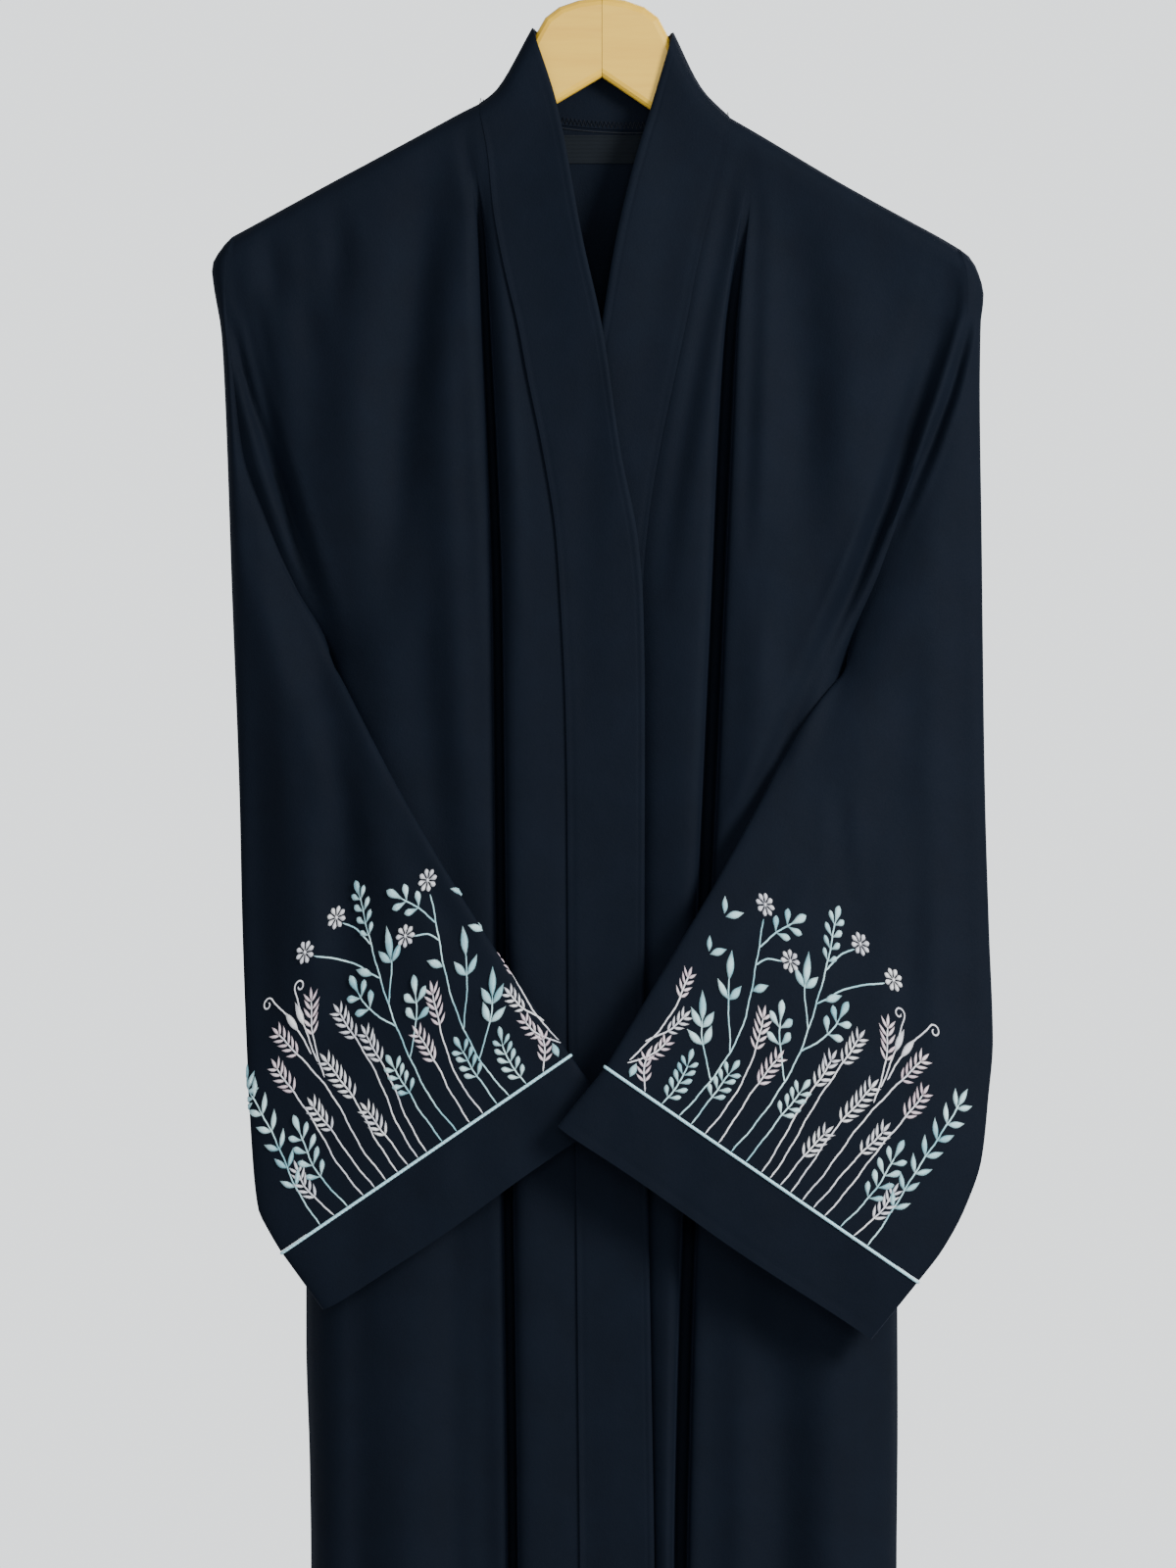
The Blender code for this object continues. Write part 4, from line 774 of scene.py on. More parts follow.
def back_neck(share):
    """Point of the back neck seam, from the left neck point (0) to the right one (1)."""
    left, right = -SHOULDER["left"]["out"][0], SHOULDER["right"]["out"][0]
    x = mix(left, right, share)
    z = mix(SHOULDER["left"]["z"][0], SHOULDER["right"]["z"][0], share)
    z -= BACK_NECK_DROP * math.sin(math.pi * share) ** 0.7
    inside = min(share, 1 - share) * (right - left)
    return x, HALF_SEAM + (BACKWARD["panel"][0] + 0.0006) * over_the_arm(inside), z


def back_top():
    """(x, backward, z) of the back panel's top edge, from the left shoulder tip to the right one."""
    shoulders = {}
    for side in SIDES:
        tip, start = SHOULDER[side]["out"][-1], SHOULDER[side]["out"][0]
        outs = [mix(tip, start, share / BACK_SHARES[-1]) for share in BACK_SHARES[:-1]]
        shoulders[side] = [(SIDES[side] * out, HALF_SEAM, shoulder_z(side, out)) for out in outs]
    return [*shoulders["left"], *(back_neck(share) for share in NECK_COLUMNS), *reversed(shoulders["right"])]


def back_panel():
    """Rows of points of the back's outer face, from its top edge to the hem."""
    top = back_top()
    left_tip, right_tip = top[0][0], top[-1][0]
    rows = []
    for fraction in FRACTIONS:
        row = []
        left, right = (
            read(PANEL_EDGE[side], "out", mix(SHOULDER[side]["z"][-1], HEM_Z, fraction)) for side in SIDES
        )
        start = armhole_half(fraction)
        for column, (x, back, top_z) in enumerate(top):
            at = (x - left_tip) / (right_tip - left_tip)
            z = mix(top_z, HEM_Z, fraction)
            drop = top_z - z
            from_edge = min(min(at, 1 - at) / (0.5 * read(SIDE_ROUND, "share", z)), 1)
            rounded = math.sin(math.pi / 2 * from_edge) ** 0.8
            out = start + (read(BACKWARD, "panel", drop, "drop") - start) * rounded
            out += soft_folds(BACK_FOLDS, at * BACK_WIDTH, z) * min(drop / FOLD_START, 1) * from_edge
            edge = column in (0, len(top) - 1)
            row.append((mix(-left, right, at), start if edge else mix(back, out, over_the_arm(drop)), z))
        rows.append(row)
    return array(rows)


BACK_ROWS = back_panel()
rise = crease_rise("back", BACK_ROWS) + wander(BACK_ROWS, 0.085, 0.0016, 7)
BACK_ROWS[..., 1] += rise * fade(BACK_ROWS) * hung(BACK_ROWS, 0.04)
meet(BACK_ROWS, "top", "first", "last")
cloth("cloth_back", BACK_ROWS, CLOTH, nida, BEFORE, node_name="back")

# %% [markdown]
# ## The front band
# A straight folded strip, interlined so that it stays flat, is sewn to both fronts and round the back of the
# neck. It is twice as thick as the panels and its free edge is a fold, not a cut, so it is rounded.


# %% Band down the fronts
BAND_ACROSS = (
    0, 0.02, 0.04, 0.06, 0.09, 0.14, 0.22, 0.32, 0.42, 0.52, 0.62, 0.72, 0.80, 0.86, 0.885, 0.90, 0.915, 0.94,
    0.96, 0.975, 0.99, 1,
)
BAND_MIDDLE = 0.4  # where NECK_MID is, as a share of the band's width
NECK_CURVE = 0.10  # the band follows the neck's curve down to here, and below it lies straight
FREE_ROUND = 0.0011  # how far the free edge rounds back
STITCH = 0.00028  # depth of the pressed lines of stitching


def band_row(side, fraction):
    """Points across a front band on this row, from its sewn edge to its free edge."""
    neck = (SHOULDER[side]["out"][0], SHOULDER[side]["z"][0])
    tops = (neck, NECK_MID[side], NECK_TIP[side])
    drop = fraction * FRAME_LENGTH
    sewn_z, free_z = mix(neck[1], HEM_Z, fraction), mix(NECK_TIP[side][1], HEM_Z, fraction)
    sewn = read(BAND[side], "sewn", sewn_z) - SEAM
    free = read(BAND_FREE[side], "out", free_z)
    forward = read(FORWARD[side], "band", drop, "drop")
    hollow = (NECK_MID[side][0] - mix(neck[0], NECK_TIP[side][0], BAND_MIDDLE)) * (1 - min(drop / NECK_CURVE, 1))
    found = []
    for share in BAND_ACROSS:
        top_out, top_z = (smooth((0, BAND_MIDDLE, 1), [t[i] for t in tops], share) for i in (0, 1))
        z = mix(top_z, HEM_Z, fraction)
        out = mix(sewn, free, share) + hollow * 4 * share * (1 - share)
        if fraction == 0:
            out = top_out - SEAM * (share == 0)
        turned = over_the_arm(top_z - z)
        found.append(Vector((SIDES[side] * out, -(HALF_SEAM + (forward - HALF_SEAM) * turned), z)))
    return found


def across_band(points):
    """Rounds the free edge of a band and presses a fine line of stitching along both of its edges."""
    share = lengths(points, 1) / lengths(points, 1)[:, -1:]
    pressed = sum(np.exp(-(((share - at) / 0.012) ** 2)) for at in (0.90, 0.05))
    return FREE_ROUND * np.clip((share - 0.95) / 0.05, 0, 1) ** 2 + STITCH * pressed


for side in SIDES:
    points = array(band_row(side, fraction) for fraction in FRACTIONS)
    rise = crease_rise(f"band_{side}", points) + wander(points, 0.14, 0.0009, 3)
    past_seam = np.clip(np.arange(len(BAND_ACROSS)) / 5, 0, 1)
    points[..., 1] += (across_band(points) - rise * past_seam) * hung(points, 0.03)
    meet(points, "top", "first")
    cloth(f"cloth_band_{side}", points, DOUBLE, nida, BEHIND, node_name=f"band_{side}")


# %% Band behind the neck
def neck_band():
    """Rows of points of the band behind the neck, from the left shoulder to the right, sewn edge to free edge."""
    rows = []
    crossings = list(zip(BAND_ACROSS, *(band_row(side, 0) for side in SIDES)))
    for share in NECK_COLUMNS:
        row = []
        for across, start, end in crossings:
            arch = math.sin(math.pi * share)
            turned = over_the_arm(min(share, 1 - share) * abs(end.x - start.x))
            backward = HALF_SEAM + (ROLL - HALF_SEAM + 0.0002 + 0.0014 * across * arch) * turned
            z = mix(start.z, end.z, share) - BACK_NECK_DROP * arch**0.7 + SEAM * (across == 0)
            row.append((mix(start.x, end.x, share), backward, z))
        rows.append(row)
    return array(rows)


points = neck_band()
meet(points, "first")
NECK_SEAM = points[:, 0].copy()
cloth("cloth_band_neck", points, DOUBLE, nida, BEFORE, node_name="band_neck")

# %% [markdown]
# ## Sleeves
# Each sleeve is a wide flat tube. It is set into the armhole above the underarm, falls beside the body and then
# swings inwards across the front, where the cuffs cross. The rows below the underarm are rings that rest on the
# front panel behind them and keep a little air inside.

# %% Rings of the sleeves
AROUND = 84  # squares round a sleeve


def grid_tree(points):
    """A search tree of the surface through a grid of points."""
    down, across = points.shape[:2]
    corners = np.arange(down * across).reshape(down, across)
    faces = np.stack([corners[:-1, :-1], corners[:-1, 1:], corners[1:, 1:], corners[1:, :-1]], -1).reshape(-1, 4)
    return BVHTree.FromPolygons(points.reshape(-1, 3).tolist(), faces.tolist())


FRONT_TREES = {side: grid_tree(points) for side, points in FRONT_ROWS.items()}
BESIDE = 0.02  # this near to the panel's edge a sleeve still rests beside it


def loop_points(closing=1.0):
    """(across, layer) round a sleeve, from its inner edge (1) over the front (-1) to its outer edge (0) and back.

    The points crowd together at a folded edge. Beside an open armhole (closing 0) they're evenly spaced.
    """
    shares = []
    for i in range(AROUND // 2 + 1):
        even = i / (AROUND / 2)
        crowded = (1 - math.cos(math.pi * even)) / 2
        shares.append(crowded if even < 0.5 else mix(even, crowded, closing))
    return [(share, -1) for share in reversed(shares)] + [(share, 1) for share in shares[1:]]


def loop_height(across, outer=FLAT, inner=FLAT):
    """Shape of the flattened tube: 0 at its outer edge (0) and its inner edge (1), and 1 in the middle."""
    return (4 * across * (1 - across)) ** (outer if across < 0.5 else inner)


LOOP = loop_points()
ACROSS, LAYER = (np.array(values)[None, :] for values in zip(*LOOP))
HEIGHT = np.array([loop_height(across) for across, _ in LOOP])[None, :]


def front_surface(side, point):
    """y of the front panel's outer face behind a point, or of the band; beside the panel it falls away backwards."""
    hit = FRONT_TREES[side].ray_cast(Vector((point.x, -1, point.z)), Vector((0, 1, 0)))[0]
    if hit:
        return hit.y
    beside = abs(point.x) - read(PANEL_EDGE[side], "out", point.z)
    if beside < -BESIDE:
        return -FORWARD["left"]["band"][-1]
    return beside * 0.5 if beside < BESIDE else 1.0


def rest_on_front(side, ring):
    """Moves a ring of sleeve or cuff points forward where it would go into the front panel or its bands."""
    half = len(ring) // 2
    for i, (across, _) in enumerate(LOOP[: half + 1]):
        front, back = ring[i], ring[-1 - i]
        behind = front_surface(side, back)
        back.y = min(back.y, behind - REST)
        hollow = HOLLOW * min(1, loop_height(across) * 1.15)
        front.y = min(front.y, back.y - hollow)
    ring[-1].y = ring[0].y
    return ring


def outer_level(side, drop):
    """Height at the sleeve's outer edge of the row that is this far down at the armhole."""
    return SHOULDER[side]["z"][-1] - drop * OUTER_LEAD - OUTER_START * (1 - math.exp(-drop / OUTER_EASE))


def armhole_row(side, drop):
    """Points round the sleeve above the underarm, from the front armhole edge over its outer edge to the back one."""
    share = drop / UNDERARM_DROP
    edge_z = mix(SHOULDER[side]["z"][-1], HEM_Z, drop / FRAME_LENGTH)
    outer_z = outer_level(side, drop)
    edge = read(PANEL_EDGE[side], "out", edge_z) + SLEEVE_SEAM
    outer = read(SLEEVE_OUTER[side], "out", outer_z)
    start = armhole_half(drop / FRAME_LENGTH) if share < 1 else 0.0
    closed = HALF_SEAM + ARMHOLE_HALF * over_the_arm(drop) - start  # the tube keeps its depth where its edge closes
    closing = share**4
    found = []
    for across, layer in loop_points(closing):
        quarter = math.sqrt(1 - (1 - across) ** 2)
        bulge = read(SLEEVE_BULGE, "front" if layer < 0 else "back", share, "share")
        bulge += closed * (KEEP_FRONT if layer < 0 else KEEP_BACK)
        depth = start * quarter + bulge * loop_height(across, mix(ROUND, FLAT, closing), mix(OPEN, FLAT, closing))
        z = mix(outer_z, edge_z, across) if drop else edge_z
        out = mix(outer, edge, across) if drop else edge
        found.append(Vector((SIDES[side] * out, layer * depth if drop else 0, z)))
    return found


def sleeve_row(side, share):
    """Points round the sleeve below the underarm, from its inner edge over the front to the inner edge again."""
    under_z = mix(SHOULDER[side]["z"][-1], HEM_Z, UNDERARM_DROP / FRAME_LENGTH)
    start_z = outer_level(side, UNDERARM_DROP)
    (_, outer_end_z), (_, inner_end_z) = CUFF[side]["piping"]
    outer_z, inner_z = mix(start_z, outer_end_z, share), mix(under_z, inner_end_z, share)
    outer, inner = read(SLEEVE_OUTER[side], "out", outer_z), read(SLEEVE_INNER[side], "out", inner_z)
    outer_y, inner_y, front, back = (read(SLEEVE_DEPTH[side], name, share, "share") for name in DEPTHS)
    found = []
    for across, layer in LOOP:
        folds = soft_folds(SLEEVE_FOLDS[side], across, share)
        forward = mix(outer_y, inner_y, across) - layer * (front if layer < 0 else back) * loop_height(across)
        forward += folds * loop_height(across) * (1 - share**4) * min(1, share / 0.2) * (1 if layer < 0 else 0.6)
        found.append(Vector((SIDES[side] * mix(outer, inner, across), -forward, mix(outer_z, inner_z, across))))
    return rest_on_front(side, found)


# %% Under the arm
LAPPED = 9  # rows above the underarm that bend over the front
EASED = 11  # rows on both sides of the underarm that are smoothed,
ROUNDS = 12  # and how many times


def fold_over(points):
    """Bends the last rows above the underarm over the front, as the first ring below it already is."""
    ring, half, across = points[UNDER + 1].copy(), AROUND // 2, ACROSS.T
    for row in range(UNDER + 1 - LAPPED, UNDER + 1):
        inner, outer = points[row, 0] - points[UNDER, 0], points[row, half] - ring[half]
        shift = across * inner + (1 - across) * outer
        shift[:, 1] = 0
        pull = ease((row - UNDER + LAPPED) / LAPPED) * np.clip((1 - across) / 0.015, 0, 1) * (LAYER.T < 0)
        points[row] += pull * (ring + shift - points[row])


def tucked(sheet, heights, inward):
    """Points at those heights along a sheet's first edge, tucked half a millimetre under its face."""
    edge = sheet[:, 0] + 0.0005 * unit(sheet[:, 1] - sheet[:, 0])
    found = np.stack([np.interp(-heights, -edge[:, 2], edge[:, k]) for k in range(3)], 1)
    found[:, 1] += inward
    found[:, 2] = heights
    return found


# %% Sleeves
ARM_DROPS = [0, 0.0015, 0.004, 0.007, 0.011, 0.016, *np.arange(0.022, 0.236, 0.0068), 0.2385, 0.240]
SLEEVE_SHARES = [0.006, 0.015, 0.028, *np.linspace(0.045, 1, 64)]
UNDER = len(ARM_DROPS) - 1  # the row at the underarm
TUCK = 0.0003


def sleeve(side):
    """Points of a sleeve: open rows above the underarm, rings below it, and its creases."""
    rows = [armhole_row(side, drop) for drop in ARM_DROPS] + [sleeve_row(side, share) for share in SLEEVE_SHARES]
    points = array(rows)
    down = np.arange(len(rows))[:, None]
    ends = np.clip(down / 5, 0, 1) * np.clip((len(rows) - 1 - down) / 4, 0, 1)
    front, back = crease_rise(f"sleeve_{side}", points), crease_rise(f"sleeve_{side}_back", points)
    rise = np.where(LAYER < 0, front, back) + wander(points, 0.06, 0.0009, 11)
    shared = crease_rise(f"armhole_{side}", points) * np.clip((UNDER - down) / 6, 0, 1)
    points[..., 1] += np.where(LAYER < 0, -rise, rise * 0.6) * HEIGHT * ends
    points[..., 1] -= np.where(LAYER < 0, shared, 0) * np.clip(ACROSS / 0.3, 0, 1)
    fold_over(points)
    easy = np.where(down > UNDER, 1, np.clip((1 - ACROSS) / 0.02, 0, 1)) * (np.abs(down - UNDER) < EASED)
    for _ in range(ROUNDS):
        points[1:-1] += easy[1:-1, :, None] * 0.25 * (points[:-2] + points[2:] - 2 * points[1:-1])
    back_sheet = BACK_ROWS if side == "left" else BACK_ROWS[:, ::-1]
    for column, sheet, inward in ((0, FRONT_ROWS[side], TUCK), (-1, back_sheet, -TUCK)):
        points[: UNDER + 1, column] = tucked(sheet, points[: UNDER + 1, column, 2], inward)
    meet(points, "foot")
    points[UNDER:, -1] = points[UNDER:, 0]
    return points


SLEEVE_ROWS = {side: sleeve(side) for side in SIDES}
for side, points in SLEEVE_ROWS.items():
    inside = points.mean((0, 1))
    cloth(f"cloth_sleeve_{side}", points, CLOTH, nida, inside, node_name=f"sleeve_{side}", closed=True)

# %% [markdown]
# ## Cuffs and piping
# The cuff is a faced band of the same crepe, cut on the slant of the sleeve's end. A cord covered in pale satin
# lies in the seam above it. The cuff's hem isn't quite straight and its corners are rounded by the turned cloth.


# %% Cuffs
def cuff_row(side, share, spread=0.0):
    """Points round the cuff, from the piping (0) to its hem (1); spread moves the wall outwards all round."""
    ends = [Vector((*mix(np.array(a), np.array(b), share),)) for a, b in zip(CUFF[side]["piping"], CUFF[side]["hem"])]
    outer_y, inner_y, front, back = (read(SLEEVE_DEPTH[side], name, 1, "share") for name in DEPTHS)
    along = (ends[0] - ends[1]).normalized() * spread
    found = []
    for across, layer in LOOP:
        point = (ends[0] + along).lerp(ends[1] - along, across)
        depth = (front if layer < 0 else back) + spread
        forward = mix(outer_y, inner_y, across) - layer * depth * loop_height(across)
        found.append(Vector((SIDES[side] * point.x, -forward, point.y)))
    return found


def cuff_axis(side):
    """Direction from the piping to the cuff's hem."""
    (a, _), (b, _) = CUFF[side]["piping"], CUFF[side]["hem"]
    return Vector((SIDES[side] * (b[0] - a[0]), 0, b[1] - a[1])).normalized()


CORD = 0.0018  # the cord, slimmer than its solid
CORD_IN = (PIPING - CORD) / 2 - SEAM  # how far the cord lies inside its solid's place, beyond the seam's gap
PRESSED = 0.87  # share of the way down the cuff where its stitching presses a line
CUFF_SHARES = (0, 0.03, 0.08, 0.15, 0.23, 0.31, 0.4, 0.49, 0.58, 0.67, 0.75, 0.82, 0.86, 0.89, 0.93, 0.965, 0.985, 1)
CORNER_LIFT = {"left": 0.0030, "right": 0.0008}  # how far the turned cloth rounds the hem's corners
for side in SIDES:
    step = cuff_axis(side)
    points = array(cuff_row(side, share) for share in CUFF_SHARES)
    share = np.array(CUFF_SHARES)[:, None]
    points += np.array(step) * (PIPING - CORD_IN) * (1 - share[..., None])
    rise = crease_rise(f"cuff_{side}", points)
    rise += wander(points, 0.05, 0.0007, 5) - 0.00025 * np.exp(-(((share - PRESSED) / 0.02) ** 2))
    points[..., 1] += np.where(LAYER < 0, -rise, rise * 0.4) * HEIGHT * np.clip(share / 0.2, 0, 1)
    corner = np.exp(-ACROSS / 0.035) + np.exp(-(1 - ACROSS) / 0.03)
    lift = share**2 * (CORNER_LIFT[side] * corner + 0.0007 * np.sin(ACROSS * 9 + 1) * (1 - corner))
    points -= lift[..., None] * np.array(step)
    inside = points.mean((0, 1))
    cloth(f"cloth_cuff_{side}", points, CUFF_WALL, nida, inside, node_name=f"cuff_{side}", closed=True)

# %% [markdown]
# ## Satin cord
# Covered piping is a soft cotton cord in a bias strip of satin, so it is smooth and glossy along its length and
# shows a faint slanting rib, where the bias runs round the cord.

# %% Piping
satin = material(
    "mint_satin_piping", "#b9dfe9", Roughness=0.36, Sheen_Weight=0.2, Sheen_Roughness=0.3, Specular_IOR_Level=0.55,
)
along = node(satin, "ShaderNodeUVMap", {"uv_map": "UVMap"})
ribs = node(
    satin, "ShaderNodeTexWave",
    {"wave_type": "BANDS", "bands_direction": "DIAGONAL", "Scale": 260, "Distortion": 1.2, "Detail": 1},
    {"Vector": along}, "Fac",
)
shade = node(satin, "ShaderNodeMixRGB", tones("#8cc0cf", "#b6dfe9"), {"Fac": ribs})
bump = node(satin, "ShaderNodeBump", {"Strength": 0.4, "Distance": 0.0003}, {"Height": ribs})
feed(satin, Base_Color=shade, Normal=bump)


def tube(line, radius, around, closed=False):
    """A mesh of a round tube along a line of points."""
    line = np.asarray(line, float)
    if closed:
        line = np.concatenate([line, line[:1]])
    run = np.gradient(line, axis=0)
    if closed:
        run[0] = run[-1] = line[1] - line[-2]
    run = unit(run)
    side = unit(np.cross(run, (0.05, 0.9, 0.43)))[:, None]  # no line here runs that way
    up = np.cross(side, run[:, None])
    turn = np.linspace(0, 2 * np.pi, around + 1)[None, :, None]
    mesh = grid(line[:, None] + radius * (side * np.cos(turn) + up * np.sin(turn)), (0, 0, 0), closed)
    bmesh.ops.recalc_face_normals(mesh, faces=mesh.faces)
    return mesh


for side in SIDES:
    step = cuff_axis(side)
    centre = [point + step * (PIPING / 2 + SEAM) for point in cuff_row(side, 0, 0.0003)][:-1]
    add(f"piping_cord_{side}", tube(centre, CORD / 2, 12, closed=True), satin, [f"piping_{side}"])
print("piping cord:", CORD * 1000, "mm across")

# %% [markdown]
# ## Blank woven label
# A small satin label is sewn inside the back of the neck. It carries nothing: its fine horizontal rib is the
# weft of a woven tape, and its ends are turned under.

# %% Label
tape = material("charcoal_woven_tape", "#0a0d12", Roughness=0.7, Sheen_Weight=0.03, Specular_IOR_Level=0.08)
along = node(tape, "ShaderNodeUVMap", {"uv_map": "UVMap"})
weft = node(
    tape, "ShaderNodeTexWave", {"wave_type": "BANDS", "bands_direction": "Y", "Scale": 420, "Distortion": 0.6},
    {"Vector": along}, "Fac",
)
tone = node(tape, "ShaderNodeMixRGB", tones("#080b10", "#141a20"), {"Fac": weft})
bump = node(tape, "ShaderNodeBump", {"Strength": 0.5, "Distance": 0.0002}, {"Height": weft})
feed(tape, Base_Color=tone, Normal=bump)

TAPE, TURNED_END = 0.0005, 0.0005  # the tape's thickness, and how much more its turned ends have
low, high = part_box("label")
xs, zs = np.linspace(low.x, high.x, 41), np.linspace(high.z, low.z, 15)
back_tree = grid_tree(BACK_ROWS)
behind = [[back_tree.ray_cast(Vector((x, -0.3, z)), Vector((0, 1, 0)))[0].y for x in xs] for z in zs]
edge_x, edge_z = np.minimum(xs - low.x, high.x - xs)[None, :], np.minimum(high.z - zs, zs - low.z)[:, None]
raised = TURNED_END * np.exp(-np.minimum(edge_x, edge_z) / 0.0015)
x, z = np.meshgrid(xs, zs)
points = np.stack([x, np.array(behind) - CLOTH - SEAM - 0.0004 - raised, z], 2)
cloth("woven_label_tape", points, TAPE, tape, BEHIND, node_name="label")

# %% [markdown]
# ## Overlocked neck seam
# The raw edges of the neck seam are turned up behind the neck and bound by an overlocker, whose looper thread
# runs to and fro over them. Below the seam a plain line of stitches holds the turned edge down. Thread is a thin
# round tube, so both are drawn as one tube each along a row of points.

# %% Overlock
sewing = material("black_sewing_thread", "#0b1017", Roughness=0.5, Sheen_Weight=0.1, Specular_IOR_Level=0.3)
place = node(sewing, "ShaderNodeTexCoord", out="Object")
twist = node(sewing, "ShaderNodeTexNoise", {"Scale": 1600, "Detail": 1}, {"Vector": place})
tone = node(sewing, "ShaderNodeMixRGB", tones("#070a10", "#141a23"), {"Fac": twist})
feed(sewing, Base_Color=tone)

THREAD_RADIUS = 0.00024
NECK_LINES = {  # stitch length in mm, and how far below or above the seam the thread goes, in turns
    "overlock_neck": (1.2, 1.0, 4.6),
    "neck_topstitch": (1.5, -1.6, -1.6),
}
seam_run = lengths(NECK_SEAM[:, None], 0)[:, 0]
for name, (pitch, even, odd) in NECK_LINES.items():
    at = np.arange(0.004, seam_run[-1] - 0.004, pitch / 1000)
    turn = np.arange(len(at)) % 2
    line = np.stack([np.interp(at, seam_run, NECK_SEAM[:, k]) for k in range(3)], 1)
    line[:, 2] += np.where(turn, odd, even) / 1000
    line[:, 1] -= DOUBLE + 0.0002 * (1 + turn)
    add(name, tube(line, THREAD_RADIUS, 6), sewing)
    print(name, len(at), "stitches")

# %% [markdown]
# ## Hanger
# The hanger is two arms of pale wood under a clear satin lacquer, with a wire hook. The solids are right as they
# are and only get their finish. Wood grain runs along each arm, so each has its own turned pattern.


# %% Lacquered wood and wire
def lacquered_wood(name, angle):
    """Pale hardwood whose grain runs at an angle, under a thin clear lacquer."""
    made = material(
        name, "#deb858", Roughness=0.42, Coat_Weight=0.15, Coat_Roughness=0.25, Specular_IOR_Level=0.25,
    )
    place = node(made, "ShaderNodeTexCoord", out="Object")
    along = node(made, "ShaderNodeMapping", {"Rotation": (0, angle, 0), "Scale": (0.07, 1, 1)}, {"Vector": place})
    fine = {"Scale": 420, "Detail": 5, "Roughness": 0.62, "Distortion": 0.4}
    grain = node(made, "ShaderNodeTexNoise", fine, {"Vector": along})
    broad = node(made, "ShaderNodeTexNoise", {"Scale": 95, "Detail": 2, "Roughness": 0.5}, {"Vector": along})
    pores = tones("#c49624", "#ddb944")
    first = node(made, "ShaderNodeMixRGB", pores, {"Fac": grain})
    lacquer = {"blend_type": "MULTIPLY", "Fac": 0.35, "Color2": linear("#dcb84c")}
    both = node(made, "ShaderNodeMixRGB", lacquer, {"Color1": first})
    tint = node(made, "ShaderNodeMixRGB", {"Color2": linear("#dab336")}, {"Fac": broad, "Color1": both})
    bump = node(made, "ShaderNodeBump", {"Strength": 0.12, "Distance": 0.0002}, {"Height": grain})
    feed(made, Base_Color=tint, Normal=bump)
    return made


ARM_SLOPE = {"left": -0.47, "right": 0.47}  # radians
for side, slope in ARM_SLOPE.items():
    finish = lacquered_wood(f"lacquered_pale_wood_{side}", slope)
    for material_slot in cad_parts[f"hanger_arm_{side}"].material_slots:
        material_slot.material = finish
steel = material("polished_steel_wire", "#c9ccd0", Metallic=1.0, Roughness=0.2)
place = node(steel, "ShaderNodeTexCoord", out="Object")
draw = node(steel, "ShaderNodeTexNoise", {"Scale": 900, "Detail": 2}, {"Vector": place})
feed(steel, Roughness=node(steel, "ShaderNodeMapRange", {"To Min": 0.14, "To Max": 0.30}, {"Value": draw}))
for name in ("hanger_hook", "hook_ferrule"):
    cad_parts[name].material_slots[0].material = steel
print("hanger: lacquered wood and polished wire")

# %% [markdown]
# ## Glue line
# The two arms are glued end to end under the hook. The joint shows as one thin dark line, so a film of glue fills
# the hair-wide gap between the end faces. It is the outline of an end face, pushed across the gap.

# %% Glue
HAIR = 0.00002  # vertices this near the end belong to the end face
glue = material("aged_hide_glue", "#3a2816", Roughness=0.5, Specular_IOR_Level=0.3)
place = node(glue, "ShaderNodeTexCoord", out="Object")
grit = node(glue, "ShaderNodeTexNoise", {"Scale": 700, "Detail": 2}, {"Vector": place})
tone = node(glue, "ShaderNodeMixRGB", tones("#2a1c0e", "#4a3520"), {"Fac": grit})
feed(glue, Base_Color=tone)
end_x, next_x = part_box("hanger_arm_left")[1].x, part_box("hanger_arm_right")[0].x
mesh = bmesh.new()
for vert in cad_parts["hanger_arm_left"].data.vertices:
    if vert.co.x > end_x - HAIR:
        bmesh.ops.create_vert(mesh, co=vert.co)
bmesh.ops.remove_doubles(mesh, verts=mesh.verts, dist=HAIR / 2)
bmesh.ops.contextual_create(mesh, geom=mesh.verts[:])
middle = sum((vert.co for vert in mesh.verts), Vector()) / len(mesh.verts)
for vert in mesh.verts:
    vert.co = (end_x, *(middle + 0.97 * (vert.co - middle)).yz)
far = bmesh.ops.extrude_face_region(mesh, geom=mesh.faces[:], use_keep_orig=True)["geom"]
far = [item for item in far if isinstance(item, bmesh.types.BMVert)]
bmesh.ops.translate(mesh, vec=(next_x - end_x, 0, 0), verts=far)
bmesh.ops.recalc_face_normals(mesh, faces=mesh.faces)
print("glue line:", round((next_x - end_x) * 1000, 2), "mm,", len(mesh.faces), "faces")
add("glue_line", mesh, glue)

# %% [markdown]
# ## Embroidery
# A meadow of wheat, leafy sprigs and daisies grows up from the piping in rayon satin stitch. The plants are
# placed as if the sleeve lay flat: c is the distance outwards from the middle of the sleeve's front and h the
# height above the piping, both in mm. A chart turns c and h back into a place on the hanging sleeve, so every
# leaf bends with the cloth. The other sleeve has the same meadow mirrored, and the backs have a thinner one.


# %% A chart of the sleeve
STEP, REACH = 0.002, 0.126  # the chart's squares, and how far it goes on both sides of the middle


